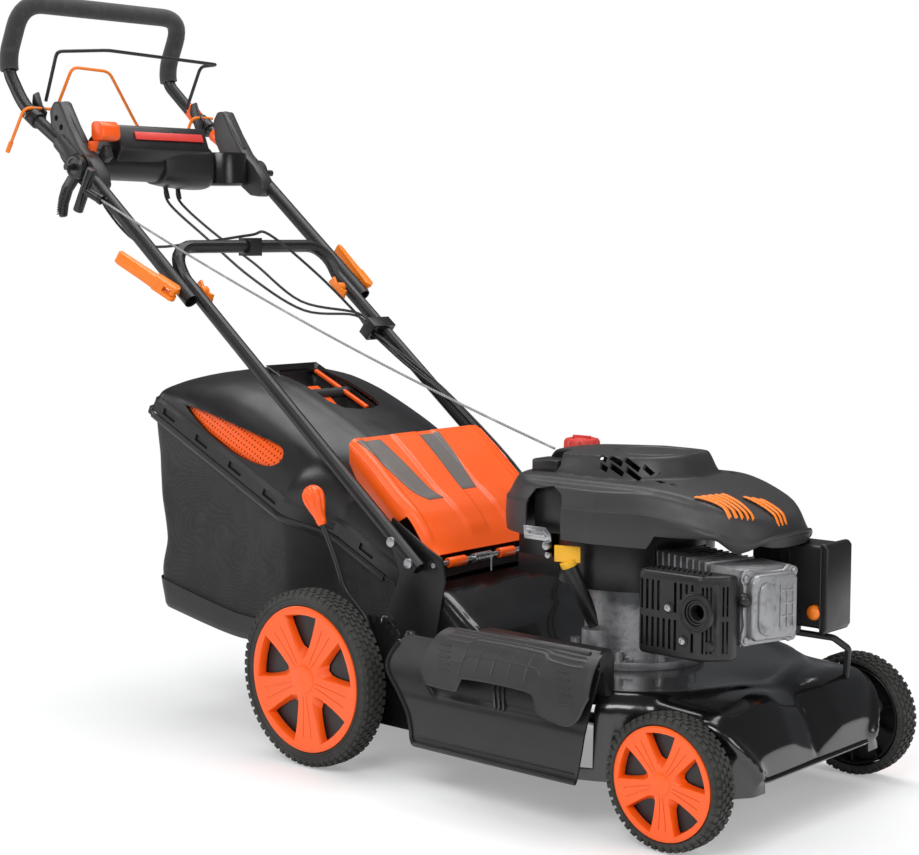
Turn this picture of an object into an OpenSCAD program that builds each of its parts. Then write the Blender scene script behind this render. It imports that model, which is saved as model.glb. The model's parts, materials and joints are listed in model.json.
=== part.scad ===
// Walk-behind petrol lawn mower with a rear grass bag, a side chute and a folding handle.
// Millimetres. +X is forward, +Y is the mower's left, +Z is up, z = 0 is the ground.
// The origin lies on the ground in the middle of the whole outline.

/* [Chassis] */
// Distance between the front and the rear wheel axles
wheelbase = 660; // [640:1:680]
// Height of the deck's lower edge above the ground
skirt_z = 70; // [62:1:74]
// Height of the deck's flat top above the ground
deck_top_z = 190; // [186:1:194]
// Sheet thickness of the deck
deck_wall = 2.5; // [2:0.1:3]
// Outer radius of the round blade housing
bowl_r = 272; // [268:1:276]
// Distance of the crankshaft behind the front axle
crank_back = 240; // [234:1:246]
// How far the deck's nose reaches ahead of the front axle
nose_front = 84; // [80:1:90]
// Half width of the deck's nose
nose_half_w = 206; // [200:1:208]
// Half width of the deck behind the blade housing
rear_half_w = 221; // [218:1:223]
// Distance of the deck's rear edge behind the front axle
deck_back = 640; // [632:1:644]
// Half width of the raised discharge tunnel
tunnel_half_w = 168; // [164:1:169]
// Height of the tunnel roof at its rear edge
tunnel_top_z = 290; // [284:1:296]

/* [Wheels] */
// Outer radius of the rear tyres
rear_tyre_r = 140; // [136:1:144]
// Width of the rear tyres
rear_tyre_w = 46; // [42:1:46]
// Overall width across the rear tyres
rear_track = 600; // [596:1:610]
// Outer radius of the orange disc of a rear wheel
rear_disc_r = 116; // [110:1:120]
// Outer radius of the front tyres
front_tyre_r = 95; // [92:1:98]
// Width of the front tyres
front_tyre_w = 42; // [38:1:42]
// Overall width across the front tyres
front_track = 540; // [538:1:548]
// Outer radius of the orange disc of a front wheel
front_disc_r = 80; // [76:1:82]
// Radius of the stub axles that the wheels turn on
stub_r = 6; // [5:0.5:7]
// Radial running clearance of every turning fit
fit = 0.06; // [0.04:0.01:0.09]

/* [Height adjustment] */
// Radius of the cross shafts that carry the wheel arms
shaft_r = 8; // [7:0.5:9]
// Thickness of the wheel arms
arm_t = 7; // [5:0.5:8]
// Height by which the deck can be lowered
drop = 50; // [40:1:52]
// Radius of the height lever's rod
lever_rod_r = 4; // [3:0.5:5]
// Length of the crank that pushes the link rod
bell_len = 36; // [30:1:38]

/* [Handle] */
// Slope of the folded-out handle above the ground
handle_angle = 38.7; // [38:0.1:39.5]
// Length from the lower bolt to the folding pivot
lower_len = 653; // [645:1:660]
// Outer radius of the lower handle tube
lower_r = 11.5; // [11:0.1:12]
// Outer radius of the upper handle tubes
upper_r = 12.5; // [12:0.1:13]
// Wall thickness of the handle tubes
tube_wall = 1.6; // [1.2:0.1:2.2]
// Length of the upper tubes from the folding pivot to the tilt pivot
upper_len = 345; // [338:1:352]
// Outer radius of the grip tube
grip_r = 11; // [10.5:0.1:11.5]
// Outer radius of the foam on the grip
foam_r = 14.5; // [14:0.1:16]
// Bend radius of the grip loop
grip_bend = 78; // [70:1:84]
// Half width of the grip loop
grip_half_w = 190; // [186:1:194]

/* [Controls] */
// Radius of the cup holder's bore
cup_r = 41; // [38:1:42]
// Depth of the cup holder's bore
cup_depth = 58; // [50:1:64]
// Radius of the brake bail's rod
brake_rod_r = 3.5; // [3:0.1:4]
// Radius of the drive bail's rod
drive_rod_r = 2.5; // [2.2:0.1:3]

/* [Engine] */
// Width of the engine's top cover
cover_w = 320; // [310:1:326]
// Height of the engine's highest cover face
cover_top_z = 512; // [508:1:520]
// Wall thickness of the engine's plastic covers
cover_wall = 3; // [2.5:0.1:4]
// Radius of the crankshaft
crank_r = 12; // [11:0.5:13]
// Radius of the fuel cap
cap_r = 29; // [26:1:31]
// Length of the blade
blade_len = 510; // [490:1:516]

/* [Grass bag and covers] */
// Half width of the grass bag at its seam
bag_half_w = 215; // [205:1:218]
// Wall thickness of the grass bag's top
bag_wall = 3; // [2.5:0.1:4]
// Thickness of the flaps and the side chute
flap_t = 3; // [2.5:0.1:3.5]

/* [Hidden] */
$fn = 48;
eps = 0.01;
gap = 0.3;

// Where the front axle lies: the outline from the grip's back to the front tyre is centred on x = 0.
bolt_back = 530;
bolt_z = 325;
grip_back = 240;
grip_reach = bolt_back + (lower_len + upper_len) * cos(handle_angle) + grip_back + foam_r;
front_x = (grip_reach - front_tyre_r) / 2;
rear_x = front_x - wheelbase;
crank_x = front_x - crank_back;

// Heights and places that several pieces share
tunnel_back = 520;
mouth_back = 606;
mouth_z = 208;
hinge_back = 500;
hinge_z = 322;
hinge_r = 4;
plate_t = 3.5;
lower_half = tunnel_half_w + plate_t + lower_r + gap;
upper_half = lower_half + lower_r + upper_r + 0.5;
grip_leg_half = upper_half - 3;
pivot_back = wheelbase - 81;
pivot_z = rear_tyre_r + drop / 2;
sleeve_r = 12;
drive_r = 7;
front_pivot_ahead = 50;
front_pivot_z = front_tyre_r + drop / 2;
rear_arm = norm([wheelbase - pivot_back, drop / 2]);
front_arm = norm([front_pivot_ahead, drop / 2]);
rear_swing = asin(drop / 2 / rear_arm);
front_swing = asin(drop / 2 / front_arm);
front_bell = bell_len * sin(rear_swing) / sin(front_swing);
rod_half = 188;
rear_wheel_in = rear_track / 2 - rear_tyre_w;
front_wheel_in = front_track / 2 - front_tyre_w;
blade_z = 76;
blade_t = 3.5;
belt_z = 133;
cylinder_yaw = -17;
seam_back = 600;
seam_z = 282;
seam_angle = 25.2;
cam_pin_half = upper_half + upper_r + 12;

// A place behind the front axle by the given distance
function px(back) = front_x - back;

// A point on the handle: along from the lower bolt, raised square to it, at side y
function on_handle(along, rise, y) = [
    px(bolt_back) - along * cos(handle_angle) + rise * sin(handle_angle),
    y,
    bolt_z + along * sin(handle_angle) + rise * cos(handle_angle)
];
fold = on_handle(lower_len, 0, 0);
tilt = on_handle(lower_len + upper_len, 0, 0);

// Where the tilt pivot lies behind the front axle and above the ground on the standard handle
HEAD_BACK = 1308.87;
HEAD_Z = 949;

// A place on the control head, stated for the standard handle, in X and Z or at side y
function head(back, z) = [tilt[0] + HEAD_BACK - back, tilt[2] + z - HEAD_Z];
function head_at(back, y, z) = [head(back, z)[0], y, head(back, z)[1]];

// A point set out from the tilt pivot: back, up and at side y
function from_tilt(back, rise, y) = [tilt[0] - back, y, tilt[2] + rise];

function unit(v) = v / norm(v);
function turn_at(p, i) = acos(unit(p[i] - p[i - 1]) * unit(p[i + 1] - p[i]));
function bend_at(bend, i) = is_list(bend) ? bend[i] : bend;
function trim_at(p, i, bend) =
    i == 0 || i == len(p) - 1 ? 0 : bend_at(bend, i) * tan(turn_at(p, i) / 2);
function flip(v) = [for (i = [len(v) - 1 : -1 : 0]) v[i]];

// Unit normal of a 2D line at point i, mitred so that a strip keeps its thickness
function seg_normal(p, i) = let (d = unit(p[i + 1] - p[i])) [-d[1], d[0]];
function mitre(p, i) =
    i == 0 ? seg_normal(p, 0) :
    i == len(p) - 1 ? seg_normal(p, i - 1) :
    let (a = seg_normal(p, i - 1), b = seg_normal(p, i), m = unit(a + b)) m / (m * a);

// Strip of thickness t to the left of a 2D line of points
module strip(p, t)
{
    polygon(concat(p, flip([for (i = [0 : len(p) - 1]) p[i] + t * mitre(p, i)])));
}

// Side profile drawn in X and Z, extruded across the width w
module across(w)
{
    rotate([90, 0, 0]) linear_extrude(w, center = true) children();
}

// Front profile drawn in Y and Z, extruded along X from x0 over the length l
module along_x(x0, l)
{
    translate([x0, 0, 0]) rotate([90, 0, 90]) linear_extrude(l) children();
}

module on_both_sides()
{
    children();
    mirror([0, 1, 0]) children();
}

// Cylinder along Y from side y0 to side y1
module pin_y(x, z, y0, y1, r)
{
    translate([x, min(y0, y1), z]) rotate([-90, 0, 0]) cylinder(r = r, h = abs(y1 - y0));
}

// Ring along Y
module ring_y(x, z, y0, y1, r, bore)
{
    difference() {
        pin_y(x, z, y0, y1, r);
        pin_y(x, z, min(y0, y1) - 1, max(y0, y1) + 1, bore);
    }
}

module piece_between(a, b, r, bore)
{
    v = b - a;
    translate(a) rotate([0, acos(v[2] / norm(v)), atan2(v[1], v[0])]) difference() {
        cylinder(r = r, h = norm(v));
        if (bore > 0)
            translate([0, 0, -1]) cylinder(r = bore, h = norm(v) + 2);
    }
}

// Points of a path whose corner i is rounded with a radius
function corner(p, i, bend) = let (
    u = unit(p[i] - p[i - 1]), v = unit(p[i + 1] - p[i]), turn = turn_at(p, i),
    side = unit(v - (v * u) * u), start = p[i] - bend * tan(turn / 2) * u,
    n = max(2, ceil(turn / 14))
) [for (k = [0 : n]) start + bend * (sin(turn * k / n) * u + (1 - cos(turn * k / n)) * side)];
function rounded(p, bend) = concat(
    [p[0]], [for (i = [1 : 1 : len(p) - 2]) each corner(p, i, bend_at(bend, i))], [p[len(p) - 1]]);

// Side directions carried along the tangents t without twist
function carried(t, i = 0, s = []) = i == len(t) ? s : carried(t, i + 1, concat(s, [
    i == 0 ? unit(cross(t[0], abs(t[0][2]) < 0.9 ? [0, 0, 1] : [1, 0, 0]))
        : unit(s[i - 1] - (s[i - 1] * t[i]) * t[i])
]));

// Round bar along the points p, as one closed surface
module sweep(p, r, sides)
{
    n = len(p);
    t = [for (i = [0 : n - 1]) unit(p[min(i + 1, n - 1)] - p[max(i - 1, 0)])];
    s = carried(t);
    ring = [for (i = [0 : n - 1], k = [0 : sides - 1])
        p[i] + r * cos(360 * k / sides) * s[i] + r * sin(360 * k / sides) * cross(t[i], s[i])];
    walls = [for (i = [0 : n - 2], k = [0 : sides - 1]) let (j = (k + 1) % sides)
        [i * sides + k, (i + 1) * sides + k, (i + 1) * sides + j, i * sides + j]];
    first = [for (k = [0 : sides - 1]) k];
    last = [for (k = [sides - 1 : -1 : 0]) (n - 1) * sides + k];
    polyhedron(ring, concat([first], walls, [last]), convexity = 6);
}

// Bar or tube through the points p; bend is one radius for every corner or a list of radii
module bent(p, r, bore, bend, sides = 12)
{
    n = len(p) - 1;
    longer = concat([p[0] - unit(p[1] - p[0])], [for (i = [1 : 1 : n - 1]) p[i]],
        [p[n] + unit(p[n] - p[n - 1])]);
    difference() {
        sweep(rounded(p, bend), r, sides);
        if (bore > 0)
            sweep(rounded(longer, bend), bore, sides);
    }
}

module cable(p, r)
{
    sweep(p, r, 8);
}

// ---- Deck ----

deck_edge = 26;
nose_drop = 5;

module bowl(inset, below)
{
    r = bowl_r - inset;
    top = deck_top_z - inset;
    edge = deck_edge - inset;
    translate([crank_x, 0, 0]) rotate_extrude() {
        translate([0, skirt_z - below]) square([r - edge, top - skirt_z + below]);
        translate([0, skirt_z - below]) square([r, top - edge - skirt_z + below]);
        intersection() {
            translate([r - edge, top - edge]) circle(edge);
            translate([0, top - edge]) square([r, edge]);
        }
    }
}

module nose(inset, below)
{
    front = px(-nose_front) - inset;
    top = deck_top_z - nose_drop - inset;
    low = skirt_z - below;
    across(2 * (nose_half_w - inset)) polygon([
        [crank_x, low], [front, low], [front, skirt_z + 62 - inset / 2],
        [front - 26, top - 16], [front - 58, top], [crank_x, top]
    ]);
}

module rear_pan(inset, below)
{
    back = px(deck_back) + inset;
    across(2 * (rear_half_w - inset)) translate([back, skirt_z - below])
        square([crank_x - back, deck_top_z - inset - skirt_z + below]);
}

flange_r = 104;
tunnel_start = crank_x - flange_r - 3;

module tunnel()
{
    across(2 * tunnel_half_w) polygon([
        [tunnel_start, deck_top_z - 30], [tunnel_start, deck_top_z],
        [px(tunnel_back), tunnel_top_z], [px(mouth_back), mouth_z],
        [px(mouth_back), deck_top_z - 30]
    ]);
}

module tunnel_space()
{
    roof = deck_wall * 1.1;
    across(2 * (tunnel_half_w - deck_wall)) polygon([
        [tunnel_start, deck_top_z - 40], [tunnel_start, deck_top_z - roof],
        [px(tunnel_back), tunnel_top_z - roof], [px(tunnel_back) - 20, tunnel_top_z],
        [px(mouth_back) - 20, mouth_z + 10], [px(mouth_back) + deck_wall, mouth_z - 8],
        [px(mouth_back) + deck_wall, deck_top_z - 40]
    ]);
}

module deck_shell()
{
    color([0.1, 0.1, 0.11]) difference() {
        union() {
            bowl(0, 0);
            nose(0, 0);
            rear_pan(0, 0);
            tunnel();
        }
        union() {
            bowl(deck_wall, 1);
            nose(deck_wall, 1);
            rear_pan(deck_wall, 1);
            tunnel_space();
        }
        translate([crank_x, 0, deck_top_z - 20]) cylinder(r = 62, h = 40);
        translate([px(370), -bowl_r - 10, skirt_z + 16]) cube([240, 110, 92]);
        on_both_sides() {
            pin_y(px(-front_pivot_ahead) - front_arm, front_pivot_z, front_wheel_in - 3,
                front_wheel_in + front_tyre_w, front_tyre_r + 4);
            pin_y(px(pivot_back), pivot_z, rear_half_w - 10, rear_half_w + 10, sleeve_r + fit);
            pin_y(px(-front_pivot_ahead), front_pivot_z, nose_half_w - 10, nose_half_w + 10,
                shaft_r + fit);
        }
    }
}

module bracket_outline()
{
    polygon([
        [px(622), deck_top_z], [px(500), deck_top_z], [px(478), 300], [px(484), 334],
        [px(512), 346], [px(588), 388], [px(600), 364], [px(572), 300], [px(600), 240]
    ]);
}

module handle_brackets()
{
    color([0.12, 0.12, 0.13]) on_both_sides() difference() {
        union() {
            translate([0, tunnel_half_w + plate_t / 2, 0]) across(plate_t) bracket_outline();
            translate([px(600), tunnel_half_w, deck_top_z]) cube([96, 34, plate_t]);
        }
        pin_y(px(hinge_back), hinge_z, tunnel_half_w - 5, tunnel_half_w + 9, hinge_r + fit);
        for (along = [0, 47])
            bracket_bolt_hole(along);
    }
}

bolt_r = 4;
bolt_gap = 0.2;

module bracket_bolt_hole(along)
{
    p = on_handle(along, 0, 0);
    pin_y(p[0], p[2], tunnel_half_w - 9, lower_half + 30, bolt_r + bolt_gap);
}

cross_along = 748;
cross_rise = 21;
lower_path = [
    on_handle(-14, 0, -lower_half), on_handle(lower_len + 32, 0, -lower_half),
    on_handle(cross_along, cross_rise, -lower_half), on_handle(cross_along, cross_rise, lower_half),
    on_handle(lower_len + 32, 0, lower_half), on_handle(-14, 0, lower_half)
];

module lower_handle()
{
    color([0.16, 0.16, 0.17]) difference() {
        bent(lower_path, lower_r, lower_r - tube_wall, 45);
        on_both_sides() {
            pin_y(fold[0], fold[2], lower_half - 30, lower_half + 30, bolt_r + fit);
            for (along = [0, 47])
                bracket_bolt_hole(along);
        }
    }
}

module hex_y(x, z, y0, y1, r)
{
    translate([x, min(y0, y1), z]) rotate([-90, 0, 0]) cylinder(r = r, h = abs(y1 - y0), $fn = 6);
}

foot_bolts = [[601, 223], [549, 206]];
engine_bolt_r = 90;

module fasteners()
{
    tube_out = lower_half + lower_r + 0.1;
    color([0.72, 0.72, 0.74]) {
        on_both_sides() {
            for (along = [0, 47]) {
                p = on_handle(along, 0, 0);
                pin_y(p[0], p[2], tunnel_half_w - 4, tube_out + 1, bolt_r);
                hex_y(p[0], p[2], tunnel_half_w - 5, tunnel_half_w, 7);
                pin_y(p[0], p[2], tube_out, tube_out + 5, 8);
            }
            for (b = foot_bolts)
                hex_y(px(b[0]), b[1], tunnel_half_w + plate_t, tunnel_half_w + plate_t + 6, 8);
        }
        for (a = [60, 180, 300])
            translate([crank_x, 0, deck_top_z + flange_t]) rotate(a) translate([engine_bolt_r, 0, 0])
                cylinder(r = 7, h = 6, $fn = 6);
    }
}

cam_eye_r = 6.5;
cross_pin_r = 3;

// Frame at the left cam lever's cross pin: X up along the handle, Y outwards, Z square to both
module place_lever(open)
{
    translate([fold[0], cam_pin_half, fold[2]]) multmatrix([
        [-cos(handle_angle), 0, sin(handle_angle), 0],
        [0, 1, 0, 0],
        [sin(handle_angle), 0, cos(handle_angle), 0],
        [0, 0, 0, 1]
    ]) rotate(open) children();
}

module flap_rod()
{
    color([0.2, 0.2, 0.21]) {
        pin_y(px(hinge_back), hinge_z, -tunnel_half_w - 6, tunnel_half_w + 6, hinge_r);
    }
}

module height_rack()
{
    y0 = rear_half_w + 0.1;
    color([0.15, 0.15, 0.16]) mirror([0, 1, 0]) difference() {
        union() {
            pin_y(px(pivot_back), pivot_z, y0, y0 + 3, 24);
            translate([px(pivot_back), y0 + 3, pivot_z]) rotate([90, 0, 0]) linear_extrude(3)
                polygon([[-20, 0], [20, 0], [56, 54], [30, 76], [-30, 76], [-56, 54]]);
        }
        pin_y(px(pivot_back), pivot_z, y0 - 1, y0 + 5, sleeve_r + fit);
        for (a = [-36 : 12 : 36])
            translate([px(pivot_back), y0 - 1, pivot_z]) rotate([0, a, 0])
                translate([-2.5, 0, 66]) cube([5, 6, 20]);
    }
}

side_hinge_y = -262;
side_hinge_z = 246;
side_hinge_r = 3;
block_back = 340;
block_front = 118;

module hinge_block()
{
    y0 = side_hinge_y + 7;
    color([0.13, 0.13, 0.14]) difference() {
        union() {
            along_x(px(block_back), block_back - block_front) polygon([
                [y0, 226], [y0, 250], [y0 + 8, 256], [y0 + 30, 256], [y0 + 38, 244],
                [y0 + 38, deck_top_z], [y0 + 20, deck_top_z], [y0 + 14, 226]
            ]);
            for (b = lug_spots) {
                translate([px(b) - 6, side_hinge_y, side_hinge_z]) rotate([0, 90, 0])
                    cylinder(r = 6.5, h = 12);
                translate([px(b) - 6, side_hinge_y, side_hinge_z - 6]) cube([12, 9, 12]);
            }
            translate([px(block_back), side_hinge_y, side_hinge_z]) rotate([0, 90, 0])
                cylinder(r = side_hinge_r, h = block_back - block_front);
        }
        for (b = [block_back - 74, block_front + 34])
            translate([px(b), y0 - 1, 234]) cube([40, 6, 14]);
    }
}

// ---- Engine ----

flange_t = 12;
case_r = 78;
case_top_z = 306;
head_reach = 300;

module place_cylinder()
{
    translate([crank_x, 0, 0]) rotate(cylinder_yaw) children();
}

module crankcase()
{
    base = deck_top_z;
    color([0.72, 0.72, 0.73]) difference() {
        union() {
            translate([crank_x, 0, base]) cylinder(r = flange_r, h = flange_t);
            translate([crank_x, 0, base]) cylinder(r = case_r, h = case_top_z - base);
            translate([crank_x + 8, -112, base]) cylinder(r = 20, h = 62);
            for (a = [0 : 40 : 320])
                translate([crank_x, 0, base]) rotate(a + 10) translate([flange_r - 12, 0, 0])
                    cylinder(r = 8, h = flange_t + 14);
            place_cylinder() translate([0, -34, 276]) cube([head_reach - 60, 68, 88]);
            place_cylinder() for (x = [92 : 14 : head_reach - 70])
                translate([x, -44, 268]) cube([4, 88, 104]);
            place_cylinder() translate([head_reach - 66, -46, 266]) cube([66, 92, 106]);
        }
        translate([crank_x, 0, base - 1]) cylinder(r = crank_r + fit, h = 200);
        difference() {
            translate([crank_x, 0, base + 8]) cylinder(r = case_r - 6, h = case_top_z - base - 16);
            translate([crank_x, 0, base]) cylinder(r = crank_r + 7, h = 200);
        }
        translate([crank_x, 0, case_top_z + 2]) cylinder(r = 90, h = 80);
        place_cylinder() translate([90, 0, 320]) rotate([0, 90, 0]) cylinder(r = 27, h = 190);
    }
}

module valve_cover()
{
    color([0.82, 0.83, 0.84]) place_cylinder() {
        translate([head_reach, -50, 264]) cube([6, 100, 110]);
        translate([head_reach + 6, -42, 272]) cube([12, 84, 94]);
        translate([head_reach + 18, -26, 282]) cube([7, 52, 74]);
    }
}

muffler_in = -142;
guard_out = -192;
outlet_back = -2;
outlet_z = 318;

guard_wall = 3.5;
muffler_face = guard_out + 12;
guard_screws = [[78, 346], [-18, 272]];

module muffler()
{
    color([0.25, 0.24, 0.24]) difference() {
        union() {
            translate([px(88), muffler_face, 260]) cube([116, muffler_in - muffler_face - 4, 98]);
            translate([px(outlet_back), guard_out + 14, outlet_z]) rotate([90, 0, 0])
                cylinder(r = 15, h = 13);
            for (b = guard_screws)
                translate([px(b[0]), muffler_face + 1, b[1]]) rotate([90, 0, 0])
                    cylinder(r = 7, h = muffler_face + 1 - guard_out - guard_wall - gap);
            place_cylinder() translate([250, -90, 318]) rotate([-90, 0, 0]) cylinder(r = 14, h = 43.9);
        }
        translate([px(outlet_back), guard_out + 20, outlet_z]) rotate([90, 0, 0])
            cylinder(r = 11, h = 30);
        translate([px(84), guard_out + 16, 264]) cube([108, muffler_in - guard_out - 24, 90]);
    }
}

module muffler_guard()
{
    x0 = px(98);
    len = 136;
    deep = muffler_in - guard_out;
    color([0.14, 0.13, 0.14]) difference() {
        union() {
            translate([x0, guard_out, 250]) cube([len, deep, 118]);
            for (b = guard_screws)
                translate([px(b[0]), guard_out + 0.1, b[1]]) rotate([90, 0, 0]) cylinder(r = 5, h = 3);
        }
        translate([x0 + guard_wall, guard_out + guard_wall, 250 + guard_wall])
            cube([len - 2 * guard_wall, deep, 118 - 2 * guard_wall]);
        for (i = [0 : 3]) {
            translate([x0 + 10 + i * 13, guard_out - 1, 262]) cube([6, 10, 94]);
            translate([x0 + len - 24 + i * 6, guard_out - 1, 262]) cube([3, 10, 94]);
        }
        for (i = [0 : 3])
            translate([x0 + len - 6, guard_out + 6 + i * 11, 262]) cube([10, 5, 94]);
        for (i = [0 : 6])
            translate([x0 + 12 + i * 17, guard_out + 8, 360]) cube([9, deep - 14, 12]);
        translate([px(outlet_back), guard_out + 8, outlet_z]) rotate([90, 0, 0])
            cylinder(r = 19, h = 12);
    }
}

blower_r = 118;
blower_z = 310;
blower_top_z = 396;
fill_low = [crank_x + 8, -112, 257];
fill_top = [crank_x - 18, -140, 345];

module blower_housing()
{
    color([0.09, 0.09, 0.1]) {
        difference() {
            union() {
                translate([crank_x, 0, blower_z]) cylinder(r = blower_r, h = blower_top_z - blower_z);
                translate([crank_x - 175, -70, blower_z]) cube([100, 140, 30]);
            }
            translate([crank_x, 0, blower_z + 4]) cylinder(r = blower_r - cover_wall, h = 100);
            translate([crank_x, 0, blower_z - 1]) cylinder(r = 30, h = 20);
            place_cylinder() translate([60, -47, 250]) cube([100, 94, 124]);
        }
        difference() {
            piece_between(fill_low, fill_top, 11, 8);
            translate([crank_x, 0, blower_z - 60]) cylinder(r = blower_r + 0.2, h = 150);
        }
    }
}

cap_back = 385;
cap_y = 50;
cap_z = 488;

module cover_slab(z0, h, inset)
{
    translate([0, 0, z0]) for (side = [-1, 1]) {
        translate([px(335), side * (cover_w / 2 - 90), 0]) cylinder(r = 90 - inset, h = h, $fn = 32);
        translate([px(170), side * (cover_w / 2 - 88), 0]) cylinder(r = 78 - inset, h = h, $fn = 32);
        translate([px(4), side * 46, 0]) cylinder(r = 44 - inset, h = h, $fn = 32);
    }
}

module cover_top(drop_by, inset)
{
    translate([px(226), 0, cover_top_z - 40 - drop_by])
        cylinder(r = 108 - inset, h = 40, $fn = 32);
    translate([px(340), 0, cover_top_z - 50 - drop_by])
        cylinder(r = 84 - inset, h = 30, $fn = 32);
}

module engine_cover()
{
    color([0.27, 0.265, 0.27]) difference() {
        hull() {
            cover_slab(blower_top_z, 46, 0);
            cover_top(0, 0);
        }
        difference() {
            hull() {
                cover_slab(blower_top_z - 1, 44, cover_wall);
                cover_top(cover_wall, cover_wall);
            }
            for (a = [-60, 60, 148, 212])
                translate([crank_x, 0, blower_top_z + gap]) rotate(a) translate([blower_r - 2, 0, 0])
                    cylinder(r = 5, h = 120, $fn = 24);
        }
        translate([px(cap_back), cap_y, cap_z - 60]) cylinder(r = cap_r + 2, h = 90);
        for (a = [-70 : 28 : 98])
            translate([px(226), 0, cover_top_z - 30]) rotate(a) translate([92, -9, 0])
                cube([40, 18, 8]);
        piece_between(fill_top - 30 * stick_dir, fill_top + 40 * stick_dir, 15, 0);
        translate([px(312), -cover_w / 2 - 1, blower_top_z - 1]) cube([76, 30, 44]);
        translate([px(275), -116, cover_top_z - 34]) cube([44, 30, 24]);
    }
}

module fuel_tank()
{
    color([0.2, 0.2, 0.2]) difference() {
        union() {
            translate([px(412), -72, blower_z + 30]) cube([52, 144, 108]);
            translate([px(cap_back), cap_y, 440]) cylinder(r = 22, h = cap_z - 440);
        }
        translate([px(408), -68, blower_z + 34]) cube([44, 136, 100]);
        translate([px(cap_back), cap_y, 430]) cylinder(r = 19, h = 80);
    }
}

module fuel_cap()
{
    color([0.8, 0.2, 0.18]) translate([px(cap_back), cap_y, cap_z + 0.2]) difference() {
        union() {
            cylinder(r = cap_r, h = 20);
            translate([0, 0, 20]) cylinder(r = cap_r - 6, h = 6);
            translate([0, 0, -14]) cylinder(r = 18.9, h = 15);
        }
        for (a = [0 : 30 : 330])
            rotate(a) translate([cap_r + 2, 0, 3]) cylinder(r = 4, h = 30);
        translate([0, 0, -15]) cylinder(r = 16, h = 24);
    }
}

stick_dir = unit(fill_top - fill_low);

module dipstick()
{
    top = fill_top + 0.2 * stick_dir;
    color([0.94, 0.73, 0.16]) {
        piece_between(top, top + 9 * stick_dir, 13, 0);
        translate(top + 9 * stick_dir) rotate([0, 0, 20]) translate([-20, -2.5, -2]) cube([40, 5, 24]);
        piece_between(top - 78 * stick_dir, top + eps * stick_dir, 2.5, 0);
    }
}

box_right = 30;
bulb_back = -54;
bulb_z = 292;
bulb_r = 11;

module air_filter_box()
{
    color([0.1, 0.1, 0.11]) difference() {
        union() {
            translate([px(10), box_right, 266]) cube([92, 62, 122]);
            translate([px(-78), box_right - 3, 262]) cube([13, 68, 130]);
            translate([px(60), 40, 310]) cube([52, 40, 44]);
            place_cylinder() translate([240, 46.1, 330]) rotate([-90, 0, 0]) cylinder(r = 13, h = 60);
        }
        translate([px(7), box_right + 3, 269]) cube([84, 56, 116]);
        translate([px(bulb_back), box_right - 4, bulb_z]) rotate([-90, 0, 0])
            cylinder(r = bulb_r + fit, h = 8);
    }
}

module primer_bulb()
{
    color([0.95, 0.55, 0.12]) translate([px(bulb_back), box_right, bulb_z]) {
        rotate([-90, 0, 0]) translate([0, 0, -2]) cylinder(r = bulb_r, h = 6);
        intersection() {
            translate([0, -2, 0]) sphere(r = bulb_r);
            translate([-20, -20, -20]) cube([40, 18.5, 40]);
        }
    }
}

pulley_r = 28;
big_pulley_r = 40;

module drive_belt()
{
    far = px(pivot_back) - crank_x;
    color([0.13, 0.13, 0.13]) translate([crank_x, 0, belt_z]) {
        difference() {
            belt_loop(far, 6 + gap, 8);
            translate([0, 0, -1]) belt_loop(far, gap, 10);
        }
    }
}

module belt_loop(far, grow, h)
{
    linear_extrude(h) link_2d([0, 0], [far, 0], pulley_r + grow, big_pulley_r + grow);
}

bar_path = [
    [px(-14), 44, 256], [px(-62), 70, 250], [px(-74), 92, 232], [px(-50), 128, deck_top_z - 8]
];

module front_bar()
{
    color([0.08, 0.08, 0.09]) {
        bent(bar_path, 5, 0, 12);
        translate([px(-14), 44, 256]) cylinder(r = 8, h = 9.9);
    }
}

clip_along = 538;

module tube_clips()
{
    color([0.1, 0.1, 0.1]) {
        p = on_handle(cross_along, cross_rise, 0);
        difference() {
            translate([p[0] - 17, -13, p[2] - 17]) cube([34, 26, 32]);
            pin_y(p[0], p[2], -20, 20, lower_r + 0.1);
        }
        q = on_handle(clip_along, 0, lower_half);
        difference() {
            translate(q) rotate([0, handle_angle, 0]) translate([-12, -39, -18]) cube([24, 55, 34]);
            piece_between(on_handle(clip_along - 40, 0, lower_half),
                on_handle(clip_along + 40, 0, lower_half), lower_r + 0.1, 0);
            piece_between(on_handle(clip_along - 40, -3, lower_half - 24),
                on_handle(clip_along + 40, -3, lower_half - 24), 13, 0);
        }
    }
}

// ---- Crankshaft and blade ----

module crankshaft()
{
    color([0.6, 0.6, 0.62]) {
        translate([crank_x, 0, blade_z + 20]) cylinder(r = crank_r, h = 345 - blade_z - 20);
        translate([crank_x, 0, blower_z + 12]) cylinder(r = 82, h = 18);
    }
}

module blade_mount()
{
    color([0.45, 0.45, 0.47]) {
        difference() {
            union() {
                translate([crank_x, 0, blade_z + blade_t]) cylinder(r = 24, h = 36);
                translate([crank_x, 0, belt_z - 6]) cylinder(r = 24, h = 20);
                translate([crank_x, 0, belt_z]) cylinder(r = pulley_r, h = 8);
                translate([crank_x, 0, belt_z - 4]) cylinder(r = pulley_r + 5, h = 3.7);
                translate([crank_x, 0, belt_z + 8.3]) cylinder(r = pulley_r + 5, h = 3.7);
                translate([crank_x, 0, blade_z + 30]) cylinder(r = 20, h = belt_z - blade_z - 20);
            }
            translate([crank_x, 0, blade_z + 20]) cylinder(r = crank_r, h = 100);
            translate([crank_x, 0, blade_z - 20]) cylinder(r = 5, h = 60);
        }
        translate([crank_x, 0, blade_z - 6]) cylinder(r = 16, h = 6);
        translate([crank_x, 0, blade_z - 8]) cylinder(r = 4.9, h = 28);
    }
}

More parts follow.
